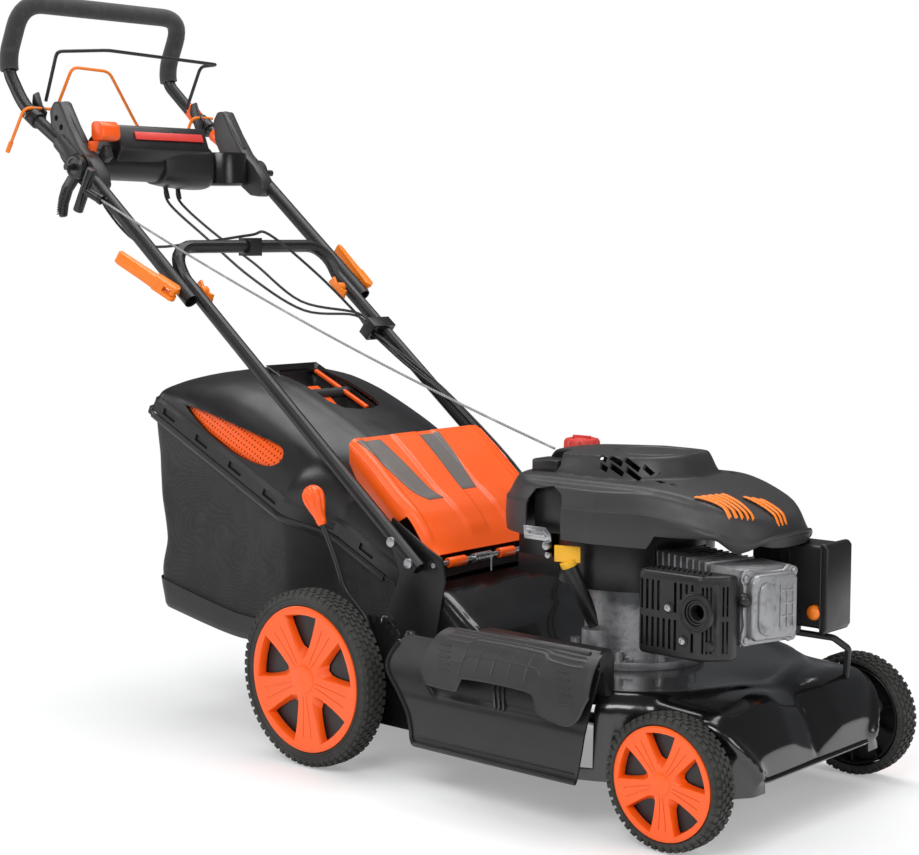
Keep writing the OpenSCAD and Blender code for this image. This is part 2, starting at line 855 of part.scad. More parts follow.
module blade()
{
    half = blade_len / 2;
    color([0.35, 0.35, 0.36]) difference() {
        union() {
            translate([crank_x - half, -27, blade_z]) cube([blade_len, 54, blade_t]);
            for (a = [0, 180])
                translate([crank_x, 0, blade_z]) rotate(a) translate([half - 90, 14, 0])
                    rotate([35, 0, 0]) cube([84, 20, blade_t]);
        }
        translate([crank_x, 0, blade_z - 1]) cylinder(r = 5.1, h = 10);
    }
}

// ---- Wheels, axles and drive ----

rear_bell_pin = [px(pivot_back) + bell_len * sin(rear_swing), pivot_z - bell_len * cos(rear_swing)];
front_pivot_x = px(-front_pivot_ahead);
front_bell_pin = [
    front_pivot_x + front_bell * sin(front_swing), front_pivot_z - front_bell * cos(front_swing)
];
arm_y = rear_half_w + 5;
front_arm_y = nose_half_w + 4;
plate_y = rod_half + 5;
stub_short = 8;
pin_r = 4;

// Flat link in X and Z: two round ends and a slightly slimmer web
module link_2d(a, b, ra, rb)
{
    u = unit(b - a);
    s = (ra - rb) / norm(b - a);
    c = sqrt(1 - s * s);
    n1 = s * u + c * [-u[1], u[0]];
    n2 = s * u - c * [-u[1], u[0]];
    web = 0.97;
    translate(a) circle(ra);
    translate(b) circle(rb);
    polygon([a + web * ra * n1, b + web * rb * n1, b + web * rb * n2, a + web * ra * n2]);
}

// The same link as a plate from side y0 to side y1
module link(a, b, ra, rb, y0, y1)
{
    translate([0, (y0 + y1) / 2, 0]) across(abs(y1 - y0)) link_2d(a, b, ra, rb);
}

module rear_axle()
{
    p = [px(pivot_back), pivot_z];
    w = [rear_x, rear_tyre_r];
    color([0.16, 0.16, 0.17]) difference() {
        union() {
            pin_y(w[0], w[1], -arm_y - 19, arm_y + 19, shaft_r);
            pin_y(w[0], w[1], -rear_track / 2 + stub_short, rear_track / 2 - stub_short, stub_r);
            on_both_sides() {
                link(p, w, 18, 14, arm_y, arm_y + arm_t);
                pin_y(p[0], p[1], rod_half + 2, arm_y + arm_t, sleeve_r);
            }
            link(p, rear_bell_pin, 14, 9, plate_y, plate_y + 6);
            pin_y(rear_bell_pin[0], rear_bell_pin[1], rod_half - 3, plate_y + 1, pin_r);
        }
        on_both_sides() pin_y(p[0], p[1], rod_half - 10, arm_y + arm_t + 10, drive_r + fit);
    }
}

module front_axle()
{
    p = [front_pivot_x, front_pivot_z];
    w = [front_x, front_tyre_r];
    color([0.16, 0.16, 0.17]) {
        pin_y(p[0], p[1], -front_arm_y - arm_t, front_arm_y + arm_t, shaft_r);
        on_both_sides() {
            link(p, w, 14, 12, front_arm_y, front_arm_y + arm_t);
            pin_y(w[0], w[1], front_arm_y + 1, front_track / 2 - stub_short, stub_r);
        }
        link(p, front_bell_pin, 13, 9, plate_y, plate_y + 6);
        pin_y(front_bell_pin[0], front_bell_pin[1], rod_half - 3, plate_y + 1, pin_r);
    }
}

// The front eye is wide: the rod is carried by its rear pin
module link_rod()
{
    color([0.45, 0.45, 0.46]) difference() {
        link(rear_bell_pin, front_bell_pin, 9, 9, rod_half - 1, rod_half + 3);
        pin_y(rear_bell_pin[0], rear_bell_pin[1], rod_half - 5, rod_half + 9, pin_r + fit);
        pin_y(front_bell_pin[0], front_bell_pin[1], rod_half - 5, rod_half + 9, pin_r + 1.6);
    }
}

module gearbox()
{
    p = [px(pivot_back), pivot_z];
    color([0.62, 0.62, 0.64]) difference() {
        union() {
            translate([p[0] - 30, -32, 142]) cube([60, 64, 39]);
            translate([p[0] - 22, 32, 149]) cube([44, 24, 32]);
            translate([p[0] - 26, -rear_half_w + 3, 181]) cube([52, 2 * rear_half_w - 6, 6]);
            translate([p[0], 0, belt_z]) cylinder(r = 9, h = 20);
            translate([p[0], 0, belt_z]) cylinder(r = big_pulley_r, h = 8);
        }
        pin_y(p[0], p[1], -80, 80, drive_r + fit);
    }
}

module drive_shaft()
{
    color([0.55, 0.55, 0.57]) {
        pin_y(px(pivot_back), pivot_z, -rear_wheel_in + 1, rear_wheel_in - 1, drive_r);
        on_both_sides() for (a = [0 : 30 : 330])
            translate([px(pivot_back), arm_y + arm_t + 8, pivot_z]) rotate([0, a, 0])
                translate([-2, 0, drive_r - 1]) cube([4, 11, 6.5]);
    }
}

lever_y = 243;
lever_path = [
    [px(568), -lever_y, 192], [px(574), -lever_y, 238], [px(624), -lever_y, 279],
    [px(675), -lever_y - 2, 393]
];

module height_lever()
{
    p = [px(pivot_back), pivot_z];
    top = [px(686), -lever_y - 5, 418];
    color([0.55, 0.55, 0.57]) {
        difference() {
            link(p, [px(566), 204], 16, 9, -lever_y + 4.5, -arm_y - arm_t);
            pin_y(p[0], p[1], -lever_y, -arm_y, drive_r + 1);
        }
        bent(concat(lever_path, [top]), lever_rod_r, 0, 14, 8);
    }
    color([0.1, 0.1, 0.1]) translate(top) intersection() {
        sphere(r = 17);
        translate([-20, -20, -11]) cube([40, 40, 26]);
    }
}

// Tyre ring of one wheel, around Y and centred on the wheel's middle plane
module tyre(r, w, disc)
{
    h = w / 2;
    rotate([-90, 0, 0]) difference() {
        rotate_extrude() polygon([
            [disc, -h + 5], [disc + 3, -h + 1.5], [r - 9, -h], [r - 3, -h + 3], [r, -h + 9],
            [r, h - 9], [r - 3, h - 3], [r - 9, h], [disc + 3, h - 1.5], [disc, h - 5]
        ]);
        for (z = [-h / 3, h / 3])
            translate([0, 0, z]) rotate_extrude() translate([r - 3, -1.5]) square([4, 3]);
    }
}

// Spoked wheel, its open face towards the inside; side is -1 on the right and 1 on the left
module wheel(r, w, side)
{
    h = w / 2;
    rim = r - 0.1;
    rotate([-90 * side, 0, 0]) difference() {
        union() {
            difference() {
                translate([0, 0, -h + 5]) cylinder(r = rim, h = w - 10);
                translate([0, 0, -h + 4]) cylinder(r = rim - 5, h = w - 16);
                for (a = [0 : 72 : 288])
                    rotate(a) translate([0, 0, -h]) linear_extrude(w) polygon([
                        [0.32 * r, -0.1 * r], [0.76 * r, -0.36 * r], [0.86 * r, 0],
                        [0.76 * r, 0.36 * r], [0.32 * r, 0.1 * r]
                    ]);
            }
            translate([0, 0, -h]) cylinder(r = 17, h = w - 2);
            translate([0, 0, h - 5]) cylinder(r = 0.27 * r, h = 4);
        }
        translate([0, 0, -h - 1]) cylinder(r = stub_r + fit, h = w - 5);
    }
}

module place_wheel(front, side)
{
    y = front ? front_track / 2 - front_tyre_w / 2 : rear_track / 2 - rear_tyre_w / 2;
    translate([front ? front_x : rear_x, side * y, front ? front_tyre_r : rear_tyre_r]) children();
}

module tyre_at(front, side)
{
    color([0.16, 0.16, 0.155]) place_wheel(front, side)
        if (front)
            tyre(front_tyre_r, front_tyre_w, front_disc_r);
        else
            tyre(rear_tyre_r, rear_tyre_w, rear_disc_r);
}

module wheel_at(front, side)
{
    color([0.92, 0.36, 0.1]) place_wheel(front, side)
        if (front)
            wheel(front_disc_r, front_tyre_w, side);
        else
            wheel(rear_disc_r, rear_tyre_w, side);
}

// ---- Grass bag, flaps and chute ----

bag_neck = 158;
neck_end = 150;
flare_end = 232;
bag_side = [[-63, 45], [-20, 79], [176, 138], [458, 127], [534, 102], [591, 53], [594, 1], [-4, 1]];
bag_cross = [
    [-bag_half_w, 1], [-bag_half_w + 7, 40], [-140, 150], [140, 150], [bag_half_w - 7, 40],
    [bag_half_w, 1]
];
bag_plan = [
    [-80, -bag_neck], [neck_end, -bag_neck], [flare_end, -bag_half_w], [600, -bag_half_w],
    [600, bag_half_w], [flare_end, bag_half_w], [neck_end, bag_neck], [-80, bag_neck]
];

// Outline moved inwards by d; the points run clockwise as seen along the extrusion
function inset(p, d) = let (n = len(p)) [for (i = [0 : n - 1]) let (
    a = unit(p[i] - p[(i + n - 1) % n]), b = unit(p[(i + 1) % n] - p[i]),
    na = [a[1], -a[0]], nb = [b[1], -b[0]], m = unit(na + nb)
) p[i] + d / (m * na) * m];

// Frame on the bag's seam: X runs forward along it, Z stands square to it
module on_seam()
{
    translate([px(seam_back), 0, seam_z]) rotate([0, seam_angle, 0]) children();
}

module bag_solid(d)
{
    intersection() {
        across(600) mirror([1, 0]) polygon(inset(bag_side, d));
        translate([-700, 0, d > 0 ? -2 * d : 0]) rotate([90, 0, 90]) linear_extrude(800) polygon(inset(bag_cross, d));
        translate([0, 0, -10]) linear_extrude(200) mirror([1, 0]) polygon(inset(flip(bag_plan), d));
    }
}

recess_s = 366;
recess_half = 62;

module recess_box(grow, floor_t)
{
    translate([-recess_s - 78 - grow, -recess_half - grow, floor_t])
        cube([156 + 2 * grow, 2 * (recess_half + grow), 100]);
}

foot_y = 132;

module bag_top()
{
    color([0.1, 0.1, 0.11]) on_seam() {
        difference() {
            bag_solid(0);
            difference() {
                bag_solid(bag_wall);
                recess_box(bag_wall, 84 - bag_wall);
            }
            recess_box(0, 84);
            intersection() {
                across(600) mirror([1, 0]) polygon([
                    [-61, 41], [-56.5, 45], [3, 5], [588, 5], [588, -10], [-8, -10]
                ]);
                translate([0, 0, -20]) linear_extrude(100) mirror([1, 0])
                    polygon(inset(flip(bag_plan), 1.5 * bag_wall));
            }
        }
        pin_y(-recess_s, 118, -recess_half - 1, recess_half + 1, 9);
    }
    color([0.1, 0.1, 0.11]) on_both_sides() translate([0, foot_y, 0]) across(24)
        polygon([
            [px(508), 283.7], [px(tunnel_back), tunnel_top_z + gap], [px(527), 292.5],
            [px(533), 303], [px(528.5), 304], [px(508), 293]
        ]);
}

module bag_vents()
{
    slope = atan2(bag_half_w - 7 - 140, 110);
    color([0.93, 0.42, 0.12]) on_seam() on_both_sides()
        translate([-502, bag_half_w - 7, 40]) rotate([slope, 0, 0]) difference() {
            translate([0, 0.2, 6]) cube([240, 2, 56]);
            for (x = [8 : 12 : 224], z = [12 : 12 : 48])
                translate([x, -1, z]) cube([7, 5, 7]);
        }
}

fabric_back = [
    [524, 294.5], [612, 207], [690, 203], [780, 175], [900, 157], [1100, 190], [1118, 240],
    [1108, 300], [1122, 420], [1133.2, 533.6], [595.7, 280.6]
];

fabric_side = [for (p = fabric_back) [-p[0], p[1]]];
fabric_wall = 2;

module fabric_solid(side, d, front)
{
    w = bag_half_w - 2 - d;
    neck = bag_neck - d;
    intersection() {
        translate([front_x, 0, 0]) across(600) polygon(side);
        linear_extrude(700) translate([front_x, 0]) polygon([
            [front, -neck], [-735, -neck], [-790, -w], [d - 1140, -w],
            [d - 1140, w], [-790, w], [-735, neck], [front, neck]
        ]);
    }
}

// The fabric has no top and no front: the bag's hard top and its mouth are there
module bag_fabric()
{
    n = len(fabric_side);
    q = inset(fabric_side, fabric_wall);
    open = concat([q[0] + [22, 10], q[1] + [14, 0.6]], [for (i = [2 : n - 3]) q[i]],
        [q[n - 2] + [-1, 14], q[n - 1] + [8, 16]]);
    color([0.13, 0.13, 0.13]) difference() {
        fabric_solid(fabric_side, 0, -500);
        fabric_solid(open, fabric_wall, -480);
    }
}

flap_half_w = 165;
flap_line = [
    [px(503), 329], [px(510), 337], [px(552), 374], [px(694), 501]
];

module rear_flap()
{
    color([0.96, 0.42, 0.12]) difference() {
        union() {
            across(2 * flap_half_w) strip(flap_line, flap_t);
            on_both_sides() {
                translate([0, flap_half_w - flap_t / 2, 0]) across(flap_t) polygon([
                    [px(576), 395], [px(694), 501], [px(694), 466], [px(640), 384], [px(592), 374]
                ]);
                pin_y(px(hinge_back), hinge_z, 100, 140, 8);
            }
            pin_y(px(hinge_back), hinge_z, -18, 18, 8);
        }
        pin_y(px(hinge_back), hinge_z, -180, 180, hinge_r + fit);
        for (y = [-128, 18])
            translate([px(600), y, 417]) rotate([0, 41.8, 0]) translate([-70, 0, 1]) cube([110, 110, 6]);
    }
}

module flap_spring()
{
    color([0.6, 0.6, 0.62]) {
        for (y = [-80 : 6 : -44])
            ring_y(px(hinge_back), hinge_z, y, y + 5, 7, hinge_r + 0.3);
        piece_between([px(hinge_back) + 5.9, -43, hinge_z + 3], [px(hinge_back) + 5.9, -43, hinge_z - 24],
            1.5, 0);
    }
}

lug_spots = [block_back - 20, (block_back + block_front) / 2, block_front + 20];

module side_flap()
{
    leaf = [
        [side_hinge_y - 3, side_hinge_z + 6], [side_hinge_y - 24, 234], [side_hinge_y - 34, 180]
    ];
    color([0.2, 0.2, 0.21]) difference() {
        union() {
            along_x(px(372), 262) strip(leaf, flap_t);
            for (i = [0, 1])
                translate([px(lug_spots[i]) + 8, side_hinge_y, side_hinge_z]) rotate([0, 90, 0])
                    cylinder(r = 6.5, h = lug_spots[i] - lug_spots[i + 1] - 16);
            for (b = [360 : -40 : 120])
                along_x(px(b), 3) polygon([
                    [side_hinge_y - 3, 247], [side_hinge_y - 9, 240], [side_hinge_y - 28, 190],
                    [side_hinge_y - 30, 196], [side_hinge_y - 21, 234]
                ]);
        }
        translate([px(400), side_hinge_y, side_hinge_z]) rotate([0, 90, 0])
            cylinder(r = side_hinge_r + fit, h = 300);
        for (b = lug_spots)
            translate([px(b) - 7, side_hinge_y - 8, side_hinge_z - 8]) cube([14, 20, 17]);
        translate([px(260), side_hinge_y - 40, 170]) cube([50, 20, 22]);
    }
}

module side_chute()
{
    skin = [
        [-262, 234], [-268, 222], [-284, 190], [-292, 150], [-295.5, 84], [-299, 78]
    ];
    x0 = px(470);
    len = 368;
    color([0.13, 0.13, 0.14]) difference() {
        union() {
            along_x(x0, len) strip(skin, flap_t);
            for (x = [x0, x0 + len - flap_t])
                along_x(x, flap_t) polygon([
                    [-262, 234], [-268, 222], [-284, 190], [-292, 150], [-295.5, 84], [-274, 84],
                    [-274, 170], [-258, 222]
                ]);
            for (x = [x0 + 150, x0 + 290])
                along_x(x, 34) polygon([
                    [-263, 234.5], [side_hinge_y + 7 - gap, 236], [side_hinge_y + 7 - gap, 228], [-262, 226]
                ]);
        }
        translate([x0 - 1, -310, 60]) rotate([0, -16, 0]) translate([-60, 0, 0]) cube([60, 80, 200]);
    }
}

// ---- Folding handle ----

tilt_pin_r = 6;
hub_in = 197;
hub_out = 214;

module upper_tubes()
{
    color([0.17, 0.17, 0.18]) difference() {
        on_both_sides() {
            piece_between(on_handle(lower_len - 25, 0, upper_half),
                on_handle(lower_len + upper_len - 20, 0, upper_half), upper_r, upper_r - tube_wall);
            pin_y(tilt[0], tilt[2], hub_in, hub_out, 24);
            pin_y(tilt[0], tilt[2], 186, upper_half + upper_r + 26, tilt_pin_r);
        }
        on_both_sides()
            pin_y(fold[0], fold[2], lower_half, upper_half + 40, bolt_r + 0.2);
    }
    color([0.6, 0.6, 0.62]) {
        piece_between(ring_spot - 3 * pull_dir, ring_spot + 3 * pull_dir, 9, 5);
        pin_y(ring_spot[0], ring_spot[2], ring_spot[1] + 8, -upper_half - upper_r + 1.5, 3);
    }
}

module clamp_bolts()
{
    y0 = lower_half - lower_r - 14;
    color([0.95, 0.5, 0.12]) on_both_sides() {
        pin_y(fold[0], fold[2], y0, y0 + 13.5, 9);
        translate([fold[0], y0 + 5, fold[2]]) rotate([90, handle_angle, 0]) linear_extrude(5)
            polygon([[-24, -7], [24, -7], [20, 9], [8, 4], [-8, 4], [-20, 9]]);
        difference() {
            union() {
                pin_y(fold[0], fold[2], y0, cam_pin_half, bolt_r);
                place_lever(0) cylinder(r = cam_eye_r, h = 9, center = true);
            }
            place_lever(0) cylinder(r = cross_pin_r + fit, h = 30, center = true);
        }
    }
}

// Cam lever lying along the handle, its nose towards the tube
module cam_lever(open)
{
    color([0.94, 0.52, 0.12]) place_lever(open) {
        cylinder(r = cross_pin_r, h = 26, center = true);
        difference() {
            linear_extrude(26, center = true) link_2d([0, 0], [30, 3], 9, 8);
            cube([32, 32, 11], center = true);
            translate([-16, -14, -5.5]) cube([22, 14, 11]);
        }
        linear_extrude(22, center = true) polygon([
            [24, -4], [60, 1], [110, 6], [112, 12], [104, 15], [60, 12], [26, 11]
        ]);
    }
}

// Angle by which the right lever rests open
swung_out = 24;

module cam_lever_left() { cam_lever(0); }

module cam_lever_right() { mirror([0, 1, 0]) cam_lever(swung_out); }

// ---- Console, grip and controls ----

grip_path_half = [
    from_tilt(40, 31, grip_leg_half), from_tilt(171, 109, grip_leg_half),
    from_tilt(grip_back, 180, grip_half_w), from_tilt(grip_back, 215, grip_half_w),
    from_tilt(196, 305, grip_half_w)
];

function mirror_y(p) = [for (q = flip(p)) [q[0], -q[1], q[2]]];
grip_path = concat(grip_path_half, mirror_y(grip_path_half));
foam_half = [from_tilt(grip_back, 190, grip_half_w), grip_path_half[3], grip_path_half[4]];

module grip_bar()
{
    color([0.13, 0.13, 0.14])
        bent(grip_path, grip_r, grip_r - tube_wall, [0, 60, 40, 40, grip_bend, grip_bend, 40, 40, 60, 0]);
}

module foam_grip()
{
    color([0.24, 0.24, 0.24])
        bent(concat(foam_half, mirror_y(foam_half)), foam_r, grip_r / cos(15) + 0.1,
            [0, 40, grip_bend, grip_bend, 40, 0]);
}

cup_x = head(1330, 0)[0];
cup_y = 138;
cup_top_z = head(0, 985)[1];
panel_right = -135;
panel_left = 90;
panel_side = [
    head(1318, 1026), head(1300, 985), head(1298, 945), head(1315, 921), head(1375, 921),
    head(1392, 960), head(1380, 1020)
];
brake_axis = head(1468, 1075);
drive_axis = head(1451, 1059);
brake_pin_r = brake_rod_r + 0.6;
drive_pin_r = drive_rod_r + 0.6;
throttle_axis = head(1330, 985);

module console()
{
    a = [tilt[0], tilt[2]];
    b = [tilt[0] - 105, tilt[2] + 77];
    c = [tilt[0] + 66, tilt[2] - 38];
    color([0.11, 0.11, 0.12]) difference() {
        union() {
            translate([0, (panel_left + panel_right) / 2, 0]) across(panel_left - panel_right)
                polygon(panel_side);
            translate([cup_x, cup_y, cup_top_z - cup_depth - 6]) cylinder(r = cup_r + 5, h = cup_depth + 6);
            translate([cup_x - 20, panel_left - 4, cup_top_z - 50]) cube([44, 16, 40]);
            on_both_sides() {
                link(a, b, 28, 22, 184, 194.8);
                link(a, c, 28, 15, 184, 194.8);
            }
            translate([cup_x - 26, -185, cup_top_z - 55]) cube([44, 60, 34]);
            translate([cup_x - 10, cup_y + cup_r - 2, cup_top_z - 50]) cube([36, 9, 40]);
            pin_y(throttle_axis[0], throttle_axis[1], -186, -164, pin_r);
        }
        translate([0, (panel_left + panel_right) / 2, 0])
            across(panel_left - panel_right - 2 * cover_wall) polygon(inset(panel_side, cover_wall));
        translate(head_at(1311, -100, 994)) rotate([0, -24, 0]) translate([-8, 0, -16])
            cube([12, 150, 36]);
        translate([cup_x, cup_y, cup_top_z - cup_depth]) cylinder(r = cup_r, h = cup_depth + 1);
        on_both_sides() {
            pin_y(a[0], a[1], 180, 200, tilt_pin_r + fit);
            piece_between(grip_path_half[0], grip_path_half[1], grip_r + 0.1, 0);
            translate(grip_path_half[0]) sphere(r = grip_r + 1);
        }
        for (y = [-70 : 35 : 35])
            translate(head_at(1400, y, 940)) cube([20, 10, 44]);
    }
}

module bail_brackets()
{
    color([0.1, 0.1, 0.1]) on_both_sides() difference() {
        translate(head_at(1477, 176, 1020)) cube([38, 46, 68]);
        piece_between(grip_path_half[0], 1.3 * grip_path_half[1] - 0.3 * grip_path_half[0],
            grip_r + 1.4, 0);
        pin_y(brake_axis[0], brake_axis[1], 170, 184, brake_pin_r + fit);
        pin_y(drive_axis[0], drive_axis[1], 170, 230, drive_pin_r + fit);
    }
}

brake_path = [
    [brake_axis[0], -178, brake_axis[1]], [brake_axis[0], -168, brake_axis[1]],
    head_at(1402, -190, 1159), head_at(1402, -75, 1169), head_at(1402, 192, 1160),
    head_at(1449, 190, 1159),
    [brake_axis[0], 168, brake_axis[1]], [brake_axis[0], 178, brake_axis[1]]
];

module brake_bail()
{
    color([0.14, 0.14, 0.15]) {
        bent(brake_path, brake_rod_r, 0, [0, 6, 16, 40, 16, 16, 6, 0], 8);
        on_both_sides() pin_y(brake_axis[0], brake_axis[1], 170, 183, brake_pin_r);
    }
}

drive_path = [
    head_at(1506, -228, 981), [drive_axis[0], -228, drive_axis[1]],
    [drive_axis[0], -158, drive_axis[1]], head_at(1400, -158, 1133), head_at(1400, -75, 1130),
    head_at(1440, 20, 1038), head_at(1475, 100, 990), head_at(1490, 168, 985),
    [drive_axis[0], 168, drive_axis[1]], [drive_axis[0], 220, drive_axis[1]]
];

module drive_bail()
{
    color([0.95, 0.5, 0.12]) {
        bent(drive_path, drive_rod_r, 0, [0, 5, 5, 12, 12, 12, 12, 8, 5, 0], 8);
        on_both_sides() pin_y(drive_axis[0], drive_axis[1], 165, 225, drive_pin_r);
    }
}

module throttle_lever()
{
    t = throttle_axis;
    color([0.95, 0.5, 0.12]) {
        difference() {
            link(t, head(1304, 1012), 10, 5, -176, -168);
            pin_y(t[0], t[1], -180, -160, pin_r + fit);
        }
        translate(head_at(1314, -178, 1008)) cube([28, 39, 24]);
    }
}

module tilt_lever()
{
    a = [tilt[0], tilt[2]];
    b = head(1349, 893);
    y0 = -upper_half - upper_r - 0.6;
    color([0.12, 0.12, 0.12]) difference() {
        union() {
            link(a, b, 17, 11, y0 - 12, y0);
            link(a + 0.35 * (b - a), b, 12, 12, y0 - 25, y0 - 11);
        }
        pin_y(a[0], a[1], y0 - 40, y0 + 5, tilt_pin_r + fit);
    }
}

// ---- Starter rope and control cables ----

rope_r = 2;
guide_along = lower_len + upper_len - 98;
ring_spot = on_handle(guide_along, 4, -upper_half - 24);
rope_end = [px(343), -71, 507];
rope_sag = 18;
pull_dir = unit([-0.82, -0.33, 0.47]);
handle_spot = ring_spot + (3 + gap) * pull_dir;

module starter_rope()
{
    n = 16;
    run = [for (i = [1 : n]) let (f = i / n)
        ring_spot + f * (rope_end - ring_spot) - [0, 0, 4 * rope_sag * f * (1 - f)]];
    color([0.1, 0.1, 0.1]) cable(concat([handle_spot + 6 * pull_dir, ring_spot + 5 * pull_dir], run), rope_r);
}

module starter_handle()
{
    v = pull_dir;
    bar = unit(cross(v, [0, 1, 0]));
    mid = handle_spot + 32 * v;
    color([0.1, 0.1, 0.1]) difference() {
        union() {
            piece_between(handle_spot, mid, 8, 0);
            piece_between(mid - 42 * bar, mid + 42 * bar, 9, 0);
        }
        piece_between(handle_spot - v, handle_spot + 16 * v, rope_r + 1, 0);
    }
}

far_clip = on_handle(clip_along, -3, lower_half - 24);
cross_clip = on_handle(cross_along, cross_rise, 0) + [0, 0, 20];
cable_r = 2.5;
cable_routes = [
    [
        [px(1372), 60, 919], [px(1366), 64, 890], [px(1310), 92, 836], [px(1230), 126, 776],
        [px(1130), 152, 706], on_handle(clip_along + 44, -2, lower_half - 26), far_clip,
        on_handle(440, 6, lower_half - 21),
        on_handle(330, 15, lower_half - 6), on_handle(160, 16, lower_half - 1),
        on_handle(50, 17, lower_half - 1), on_handle(-16, 18, lower_half - 1), [px(468), 180, 340], [px(420), 150, 352],
        [px(360), 118, 362], [px(323), 94, 364]
    ],
    [
        [px(1360), 20, 919], [px(1352), 26, 886], [px(1290), 60, 824], [px(1210), 100, 750],
        [px(1110), 140, 690], on_handle(clip_along + 44, -7, lower_half - 29), far_clip + [0, -1, -6],
        on_handle(440, 2, lower_half - 24), on_handle(330, 15, lower_half - 12),
        on_handle(160, 16, lower_half - 7.4), on_handle(50, 17, lower_half - 7.4),
        on_handle(-16, 18, lower_half - 7.4),
        [px(466), 174, 330], [px(420), 142, 334], [px(366), 118, 336], [px(323), 94, 340]
    ],
    [
        [px(1366), -120, 919], [px(1358), -122, 880], [px(1280), -100, 812], [px(1190), -40, 816],
        cross_clip, cross_clip + [22, 26, 1], [px(1030), 96, 760],
        on_handle(clip_along + 44, 0, lower_half - 34), far_clip + [0, -6, 0],
        on_handle(440, 8, lower_half - 14), on_handle(330, 15.5, lower_half),
        on_handle(160, 13, lower_half + 12), [px(582), 206, 350], [px(570), 208, 270],
        [px(568), 208, 194]
    ]
];

// Smooth course through hand-set points, with even steps between them
function between(p, i, f) = let (
    n = len(p) - 1, a = p[max(i - 1, 0)], b = p[i], c = p[i + 1], d = p[min(i + 2, n)]
) 0.5 * (2 * b + f * (c - a) + f * f * (2 * a - 5 * b + 4 * c - d) + f * f * f * (3 * b - a - 3 * c + d));
function smooth(p, steps) = concat(
    [for (i = [0 : len(p) - 2], k = [0 : steps - 1]) between(p, i, k / steps)], [p[len(p) - 1]]);

module control_cables()
{
    color([0.08, 0.08, 0.08]) for (route = cable_routes)
        cable(smooth(route, 4), cable_r);
}

module tyre_rear_right() { tyre_at(false, -1); }
module tyre_rear_left() { tyre_at(false, 1); }
module tyre_front_right() { tyre_at(true, -1); }
module tyre_front_left() { tyre_at(true, 1); }
module wheel_rear_right() { wheel_at(false, -1); }
module wheel_rear_left() { wheel_at(false, 1); }
module wheel_front_right() { wheel_at(true, -1); }
module wheel_front_left() { wheel_at(true, 1); }

deck_shell();
handle_brackets();
lower_handle();
fasteners();
flap_rod();
flap_spring();
height_rack();
hinge_block();
crankcase();
valve_cover();
muffler();
muffler_guard();
blower_housing();
engine_cover();
fuel_tank();
air_filter_box();
drive_belt();
front_bar();
tube_clips();
clamp_bolts();
crankshaft();
blade_mount();
blade();
rear_axle();
gearbox();
height_lever();
drive_shaft();
front_axle();
link_rod();
tyre_rear_right();
tyre_rear_left();
tyre_front_right();
tyre_front_left();
wheel_rear_right();
wheel_rear_left();
wheel_front_right();
wheel_front_left();
fuel_cap();
dipstick();
primer_bulb();
bag_top();
bag_vents();
bag_fabric();
rear_flap();
side_flap();
side_chute();
upper_tubes();
cam_lever_right();
cam_lever_left();
console();
tilt_lever();
grip_bar();
foam_grip();
bail_brackets();
brake_bail();
drive_bail();
throttle_lever();
starter_rope();
starter_handle();
control_cables();
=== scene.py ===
import json
import math

import bpy
import bmesh
from mathutils import Matrix, Vector, noise

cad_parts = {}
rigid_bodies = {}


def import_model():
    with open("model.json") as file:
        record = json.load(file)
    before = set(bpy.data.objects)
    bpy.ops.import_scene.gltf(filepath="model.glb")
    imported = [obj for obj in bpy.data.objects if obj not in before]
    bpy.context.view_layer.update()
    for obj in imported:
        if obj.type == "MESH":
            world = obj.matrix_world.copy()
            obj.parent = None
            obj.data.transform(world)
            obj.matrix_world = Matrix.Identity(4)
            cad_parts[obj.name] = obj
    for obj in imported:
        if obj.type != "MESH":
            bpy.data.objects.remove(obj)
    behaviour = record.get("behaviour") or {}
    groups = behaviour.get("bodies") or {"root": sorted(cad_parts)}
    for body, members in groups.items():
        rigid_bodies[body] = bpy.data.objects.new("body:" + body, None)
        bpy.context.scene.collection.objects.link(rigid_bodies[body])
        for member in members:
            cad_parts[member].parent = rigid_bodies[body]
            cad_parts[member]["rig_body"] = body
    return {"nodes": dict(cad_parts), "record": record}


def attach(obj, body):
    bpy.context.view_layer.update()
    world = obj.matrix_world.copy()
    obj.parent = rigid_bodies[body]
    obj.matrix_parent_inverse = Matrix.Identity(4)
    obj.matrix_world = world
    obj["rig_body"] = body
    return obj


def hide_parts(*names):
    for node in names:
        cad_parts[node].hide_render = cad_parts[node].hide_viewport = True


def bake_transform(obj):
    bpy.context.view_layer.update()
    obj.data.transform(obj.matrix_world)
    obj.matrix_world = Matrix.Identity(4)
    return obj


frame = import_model()
bpy.ops.object.select_all(action="DESELECT")
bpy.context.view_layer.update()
NODES = frame["nodes"]
FRONT = 0.734185
SEAM = math.radians(25.2)
CYLINDER_TURN = math.radians(-17)
mm = 0.001


def place(back, y, z):
    """A point given in millimetres behind the front axle, to the left and up."""
    return Vector((FRONT - back / 1000, y / 1000, z / 1000))


# ---- Camera, lamps and stage ----

def make_camera():
    """Long-lens camera in front of the machine and to its right."""
    bpy.ops.object.camera_add(location=(2.181215, -2.31056, 0.83252),
                              rotation=(math.radians(84.15), 0, math.radians(41.53)))
    camera = bpy.context.object
    camera.data.sensor_width = 36
    camera.data.lens = 74.31
    camera.data.clip_start = 0.1
    camera.data.clip_end = 60
    bpy.context.scene.camera = camera


def make_lamp(name, at, aim, size, power):
    """A rectangular lamp that looks at a point."""
    bpy.ops.object.light_add(type="AREA", location=at)
    lamp = bpy.context.object
    lamp.name = name
    lamp.data.shape = "RECTANGLE"
    lamp.data.size, lamp.data.size_y = size
    lamp.data.energy = power
    lamp.rotation_euler = (Vector(aim) - Vector(at)).to_track_quat("-Z", "Y").to_euler()


